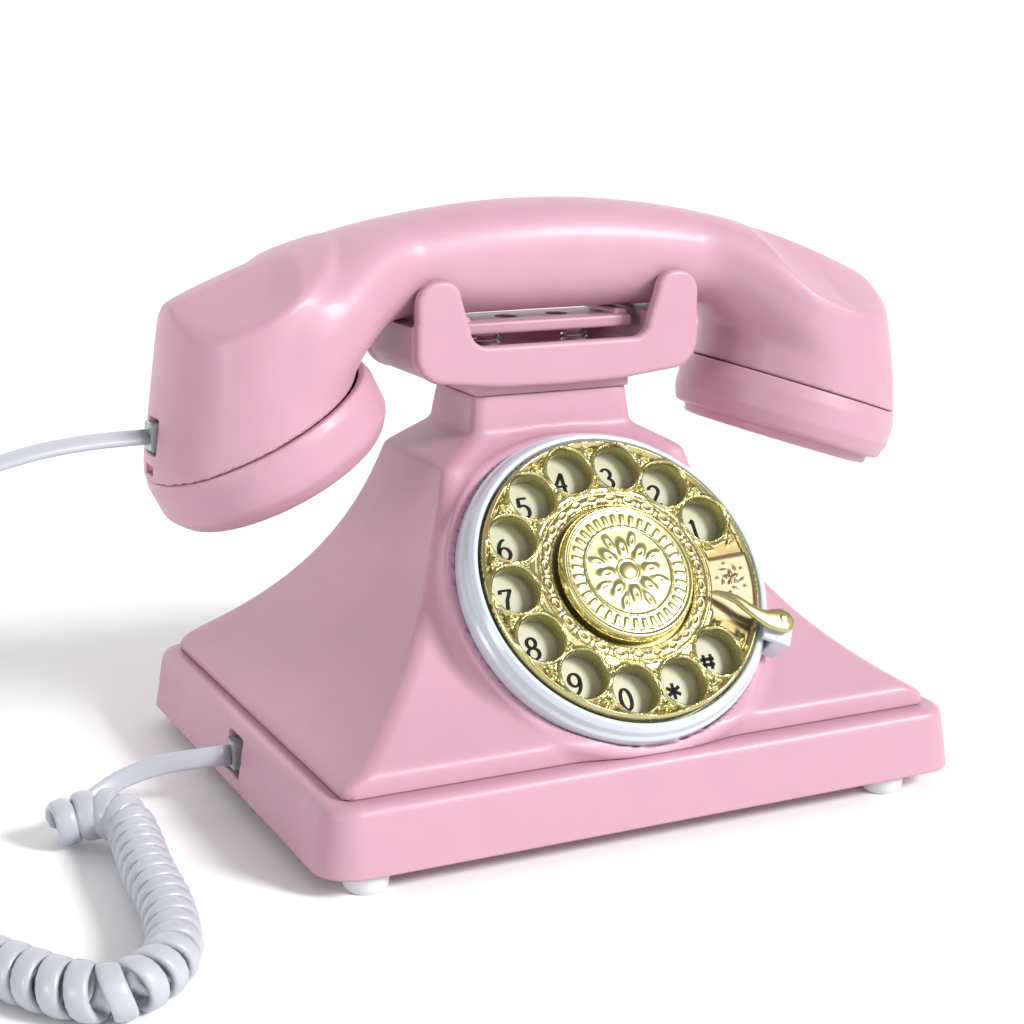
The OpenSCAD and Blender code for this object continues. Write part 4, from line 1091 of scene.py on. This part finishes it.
def pen_stroke(points, size, centre, pen):
    """A flat ribbon as a broad pen would leave it: thick down strokes, thin level ones."""
    p = np.array(points, float) * size
    run = np.concatenate([[0], np.cumsum(np.linalg.norm(np.diff(p, axis=0), axis=1))])
    at = np.linspace(0, run[-1], max(3, int(run[-1] / 0.22)))
    p = np.stack([np.interp(at, run, p[:, k]) for k in range(2)], 1)
    d = np.gradient(p, axis=0)
    normal = np.stack([-d[:, 1], d[:, 0]], 1) / np.maximum(np.linalg.norm(d, axis=1), 1e-9)[:, None]
    reach = np.sqrt((pen[0] * normal[:, 0]) ** 2 + (pen[1] * normal[:, 1]) ** 2)
    off = np.stack([pen[0] ** 2 * normal[:, 0], pen[1] ** 2 * normal[:, 1]], 1) / reach[:, None]
    left, right = p + off + centre, p - off + centre
    flat = np.concatenate([left, right])
    n = len(p)
    under = np.column_stack([flat, np.full(2 * n, PLATE_TOP - 0.05)])
    over = np.column_stack([flat, np.full(2 * n, PLATE_TOP + 0.04)])
    faces = []
    for i in range(n - 1):
        a, b, c, e = i, i + 1, n + i + 1, n + i
        faces.append((2 * n + a, 2 * n + e, 2 * n + c, 2 * n + b))
        faces.append((a, b, c, e))
        faces.append((a, 2 * n + a, 2 * n + b, b))
        faces.append((e, c, 2 * n + c, 2 * n + e))
    faces.append((0, n, 3 * n, 2 * n))
    faces.append((n - 1, 3 * n - 1, 4 * n - 1, 2 * n - 1))
    obj = new_object("stroke", on_dial(np.concatenate([under, over])), faces, smooth=False)
    tidy(obj)
    return obj


def make_digits():
    strokes = []
    for label, angle in zip(LABELS, HOLE_ANGLES):
        centre = np.array(polar(HOLE_CIRCLE, angle)) + [-0.6, -0.8]
        bold = label in "*#"
        pen = (0.5, 0.5) if bold else (0.56, 0.34)
        for points in GLYPHS[label]:
            strokes.append(pen_stroke(points, DIGIT_H, centre, pen))
    digits = joined("dial_digits", strokes)
    finish_piece(digits, "base", "black_plastic", INK)


STOP_ANGLE = -25.0


def make_finger_stop():
    """An S-shaped arm that thickens from its tip to its round foot."""
    spine = curve_through([[23.8, 1.6, 1.7], [27, 1.9, 2.2], [31, 1.2, 3.0], [35.5, -0.6, 3.2],
                           [40, -1.5, 3.0], [44.5, -0.9, 2.9], [48.2, 0.2, 2.9]], 0.35)
    t = np.linspace(0, 1, len(spine))
    half_w = np.interp(t, [0, 0.06, 0.2, 0.45, 0.6, 0.78, 0.9, 0.97, 1],
                       [0.25, 0.7, 1.1, 1.5, 2.0, 3.2, 3.5, 2.6, 1.0])
    half_t = np.interp(t, [0, 0.06, 0.3, 0.6, 0.9, 1], [0.2, 0.45, 0.8, 1.0, 1.1, 0.5])
    turn = math.radians(STOP_ANGLE)
    c, s = math.cos(turn), math.sin(turn)
    placed = np.stack([spine[:, 0] * c - spine[:, 1] * s, spine[:, 0] * s + spine[:, 1] * c,
                       spine[:, 2]], 1)
    sideways = np.tile(-s * DIAL_RIGHT + c * DIAL_UP, (len(spine), 1))
    arm = sweep("stop_arm", on_dial(placed), sideways, half_w, half_t, 20, 2.3)
    tidy(arm)
    finish_piece(arm, "base", "gold_finish", GOLD, "finger_stop")
    x, y = 45.0 * c + 0.5 * s, 45.0 * s - 0.5 * c
    head = fillet([(0, 4.4), (0.9, 4.35), (1.35, 3.9), (1.35, 3.0), (0, 3.0)], [0, 0.4, 0.3, 0, 0])
    screw = lathe("stop_screw_head", head, lambda p: on_dial(p + [x, y, 0]), 40, False)
    finish_piece(screw, "base", "gold_finish", GOLD, "stop_screw")


def make_stop_bracket():
    turn = math.radians(STOP_ANGLE - 3)
    c, s = math.cos(turn), math.sin(turn)

    def field(x, y, z):
        right, up, out = from_dial(x, y, z)
        u, v = right * c + up * s, -right * s + up * c
        post = box_field(u, v, out, [46.95, 0, -3.8], [2.25, 4, 5.1], 0.6)
        shelf = box_field(u, v, out, [45.1, 0, 0.25], [4.1, 4, 1.0], 0.6)
        return blend_min(post, shelf, 0.6)

    middle = on_dial(np.array([46.5 * c, 46.5 * s, -3.5]))
    bracket = solid_of("stop_bracket_cover", field, middle - 9, middle + 9, 0.4)
    finish_piece(bracket, "base", "white_plastic", WHITE, "stop_bracket")


# ---- studio ----------------------------------------------------------------------


def make_studio():
    """A plain pale floor that sweeps up behind the object, and soft lamps."""
    mesh = bpy.data.meshes.new("floor")
    sweep_r, back = 1.0, 1.6
    line = [(-6.0, 0.0)] + [(back + sweep_r * math.sin(a), sweep_r * (1 - math.cos(a)))
                            for a in np.linspace(0, math.pi / 2, 25)] + [(back + sweep_r, 5.0)]
    points = [(x, y, z) for y, z in line for x in (-6.0, 6.0)]
    mesh.from_pydata(points, [], [(2 * i, 2 * i + 1, 2 * i + 3, 2 * i + 2)
                                  for i in range(len(line) - 1)])
    mesh.polygons.foreach_set("use_smooth", [True] * len(mesh.polygons))
    floor = bpy.data.objects.new("floor", mesh)
    bpy.context.scene.collection.objects.link(floor)
    mesh.materials.append(material("pale_floor", (0.95, 0.95, 0.95), 0.6, tone=0.004,
                                   tone_scale=2.0, grain=0.0, specular=0.2))
    world = bpy.data.worlds.new("studio")
    world.use_nodes = True
    world.node_tree.nodes["Background"].inputs["Color"].default_value = (1, 1, 1, 1)
    world.node_tree.nodes["Background"].inputs["Strength"].default_value = 0.42
    bpy.context.scene.world = world
    bpy.context.scene.view_settings.view_transform = "Standard"
    sun = bpy.data.lights.new("key", "SUN")
    sun.energy = 3.5
    sun.angle = math.radians(16)
    lights = [(sun, (0.75, -0.95, 0.85))]
    for name, at, size, power in (("front_panel", (0.35, -0.95, 0.5), 0.45, 1.5),
                                  ("left_strip", (-1.1, -0.5, 0.28), 0.3, 3.0)):
        panel = bpy.data.lights.new(name, "AREA")
        panel.shape = "SQUARE"
        panel.size = size
        panel.energy = power
        lights.append((panel, at))
    for light, at in lights:
        obj = bpy.data.objects.new(light.name, light)
        bpy.context.scene.collection.objects.link(obj)
        obj.location = at
        aim = Vector((0, 0, 0.07)) - Vector(at)
        obj.rotation_euler = aim.to_track_quat("-Z", "Y").to_euler()


make_skirt()
make_feet()
make_body()
make_cradle()
make_handset()
make_bezel()
make_digits()
make_wheel()
make_finger_stop()
make_stop_bracket()
make_studio()
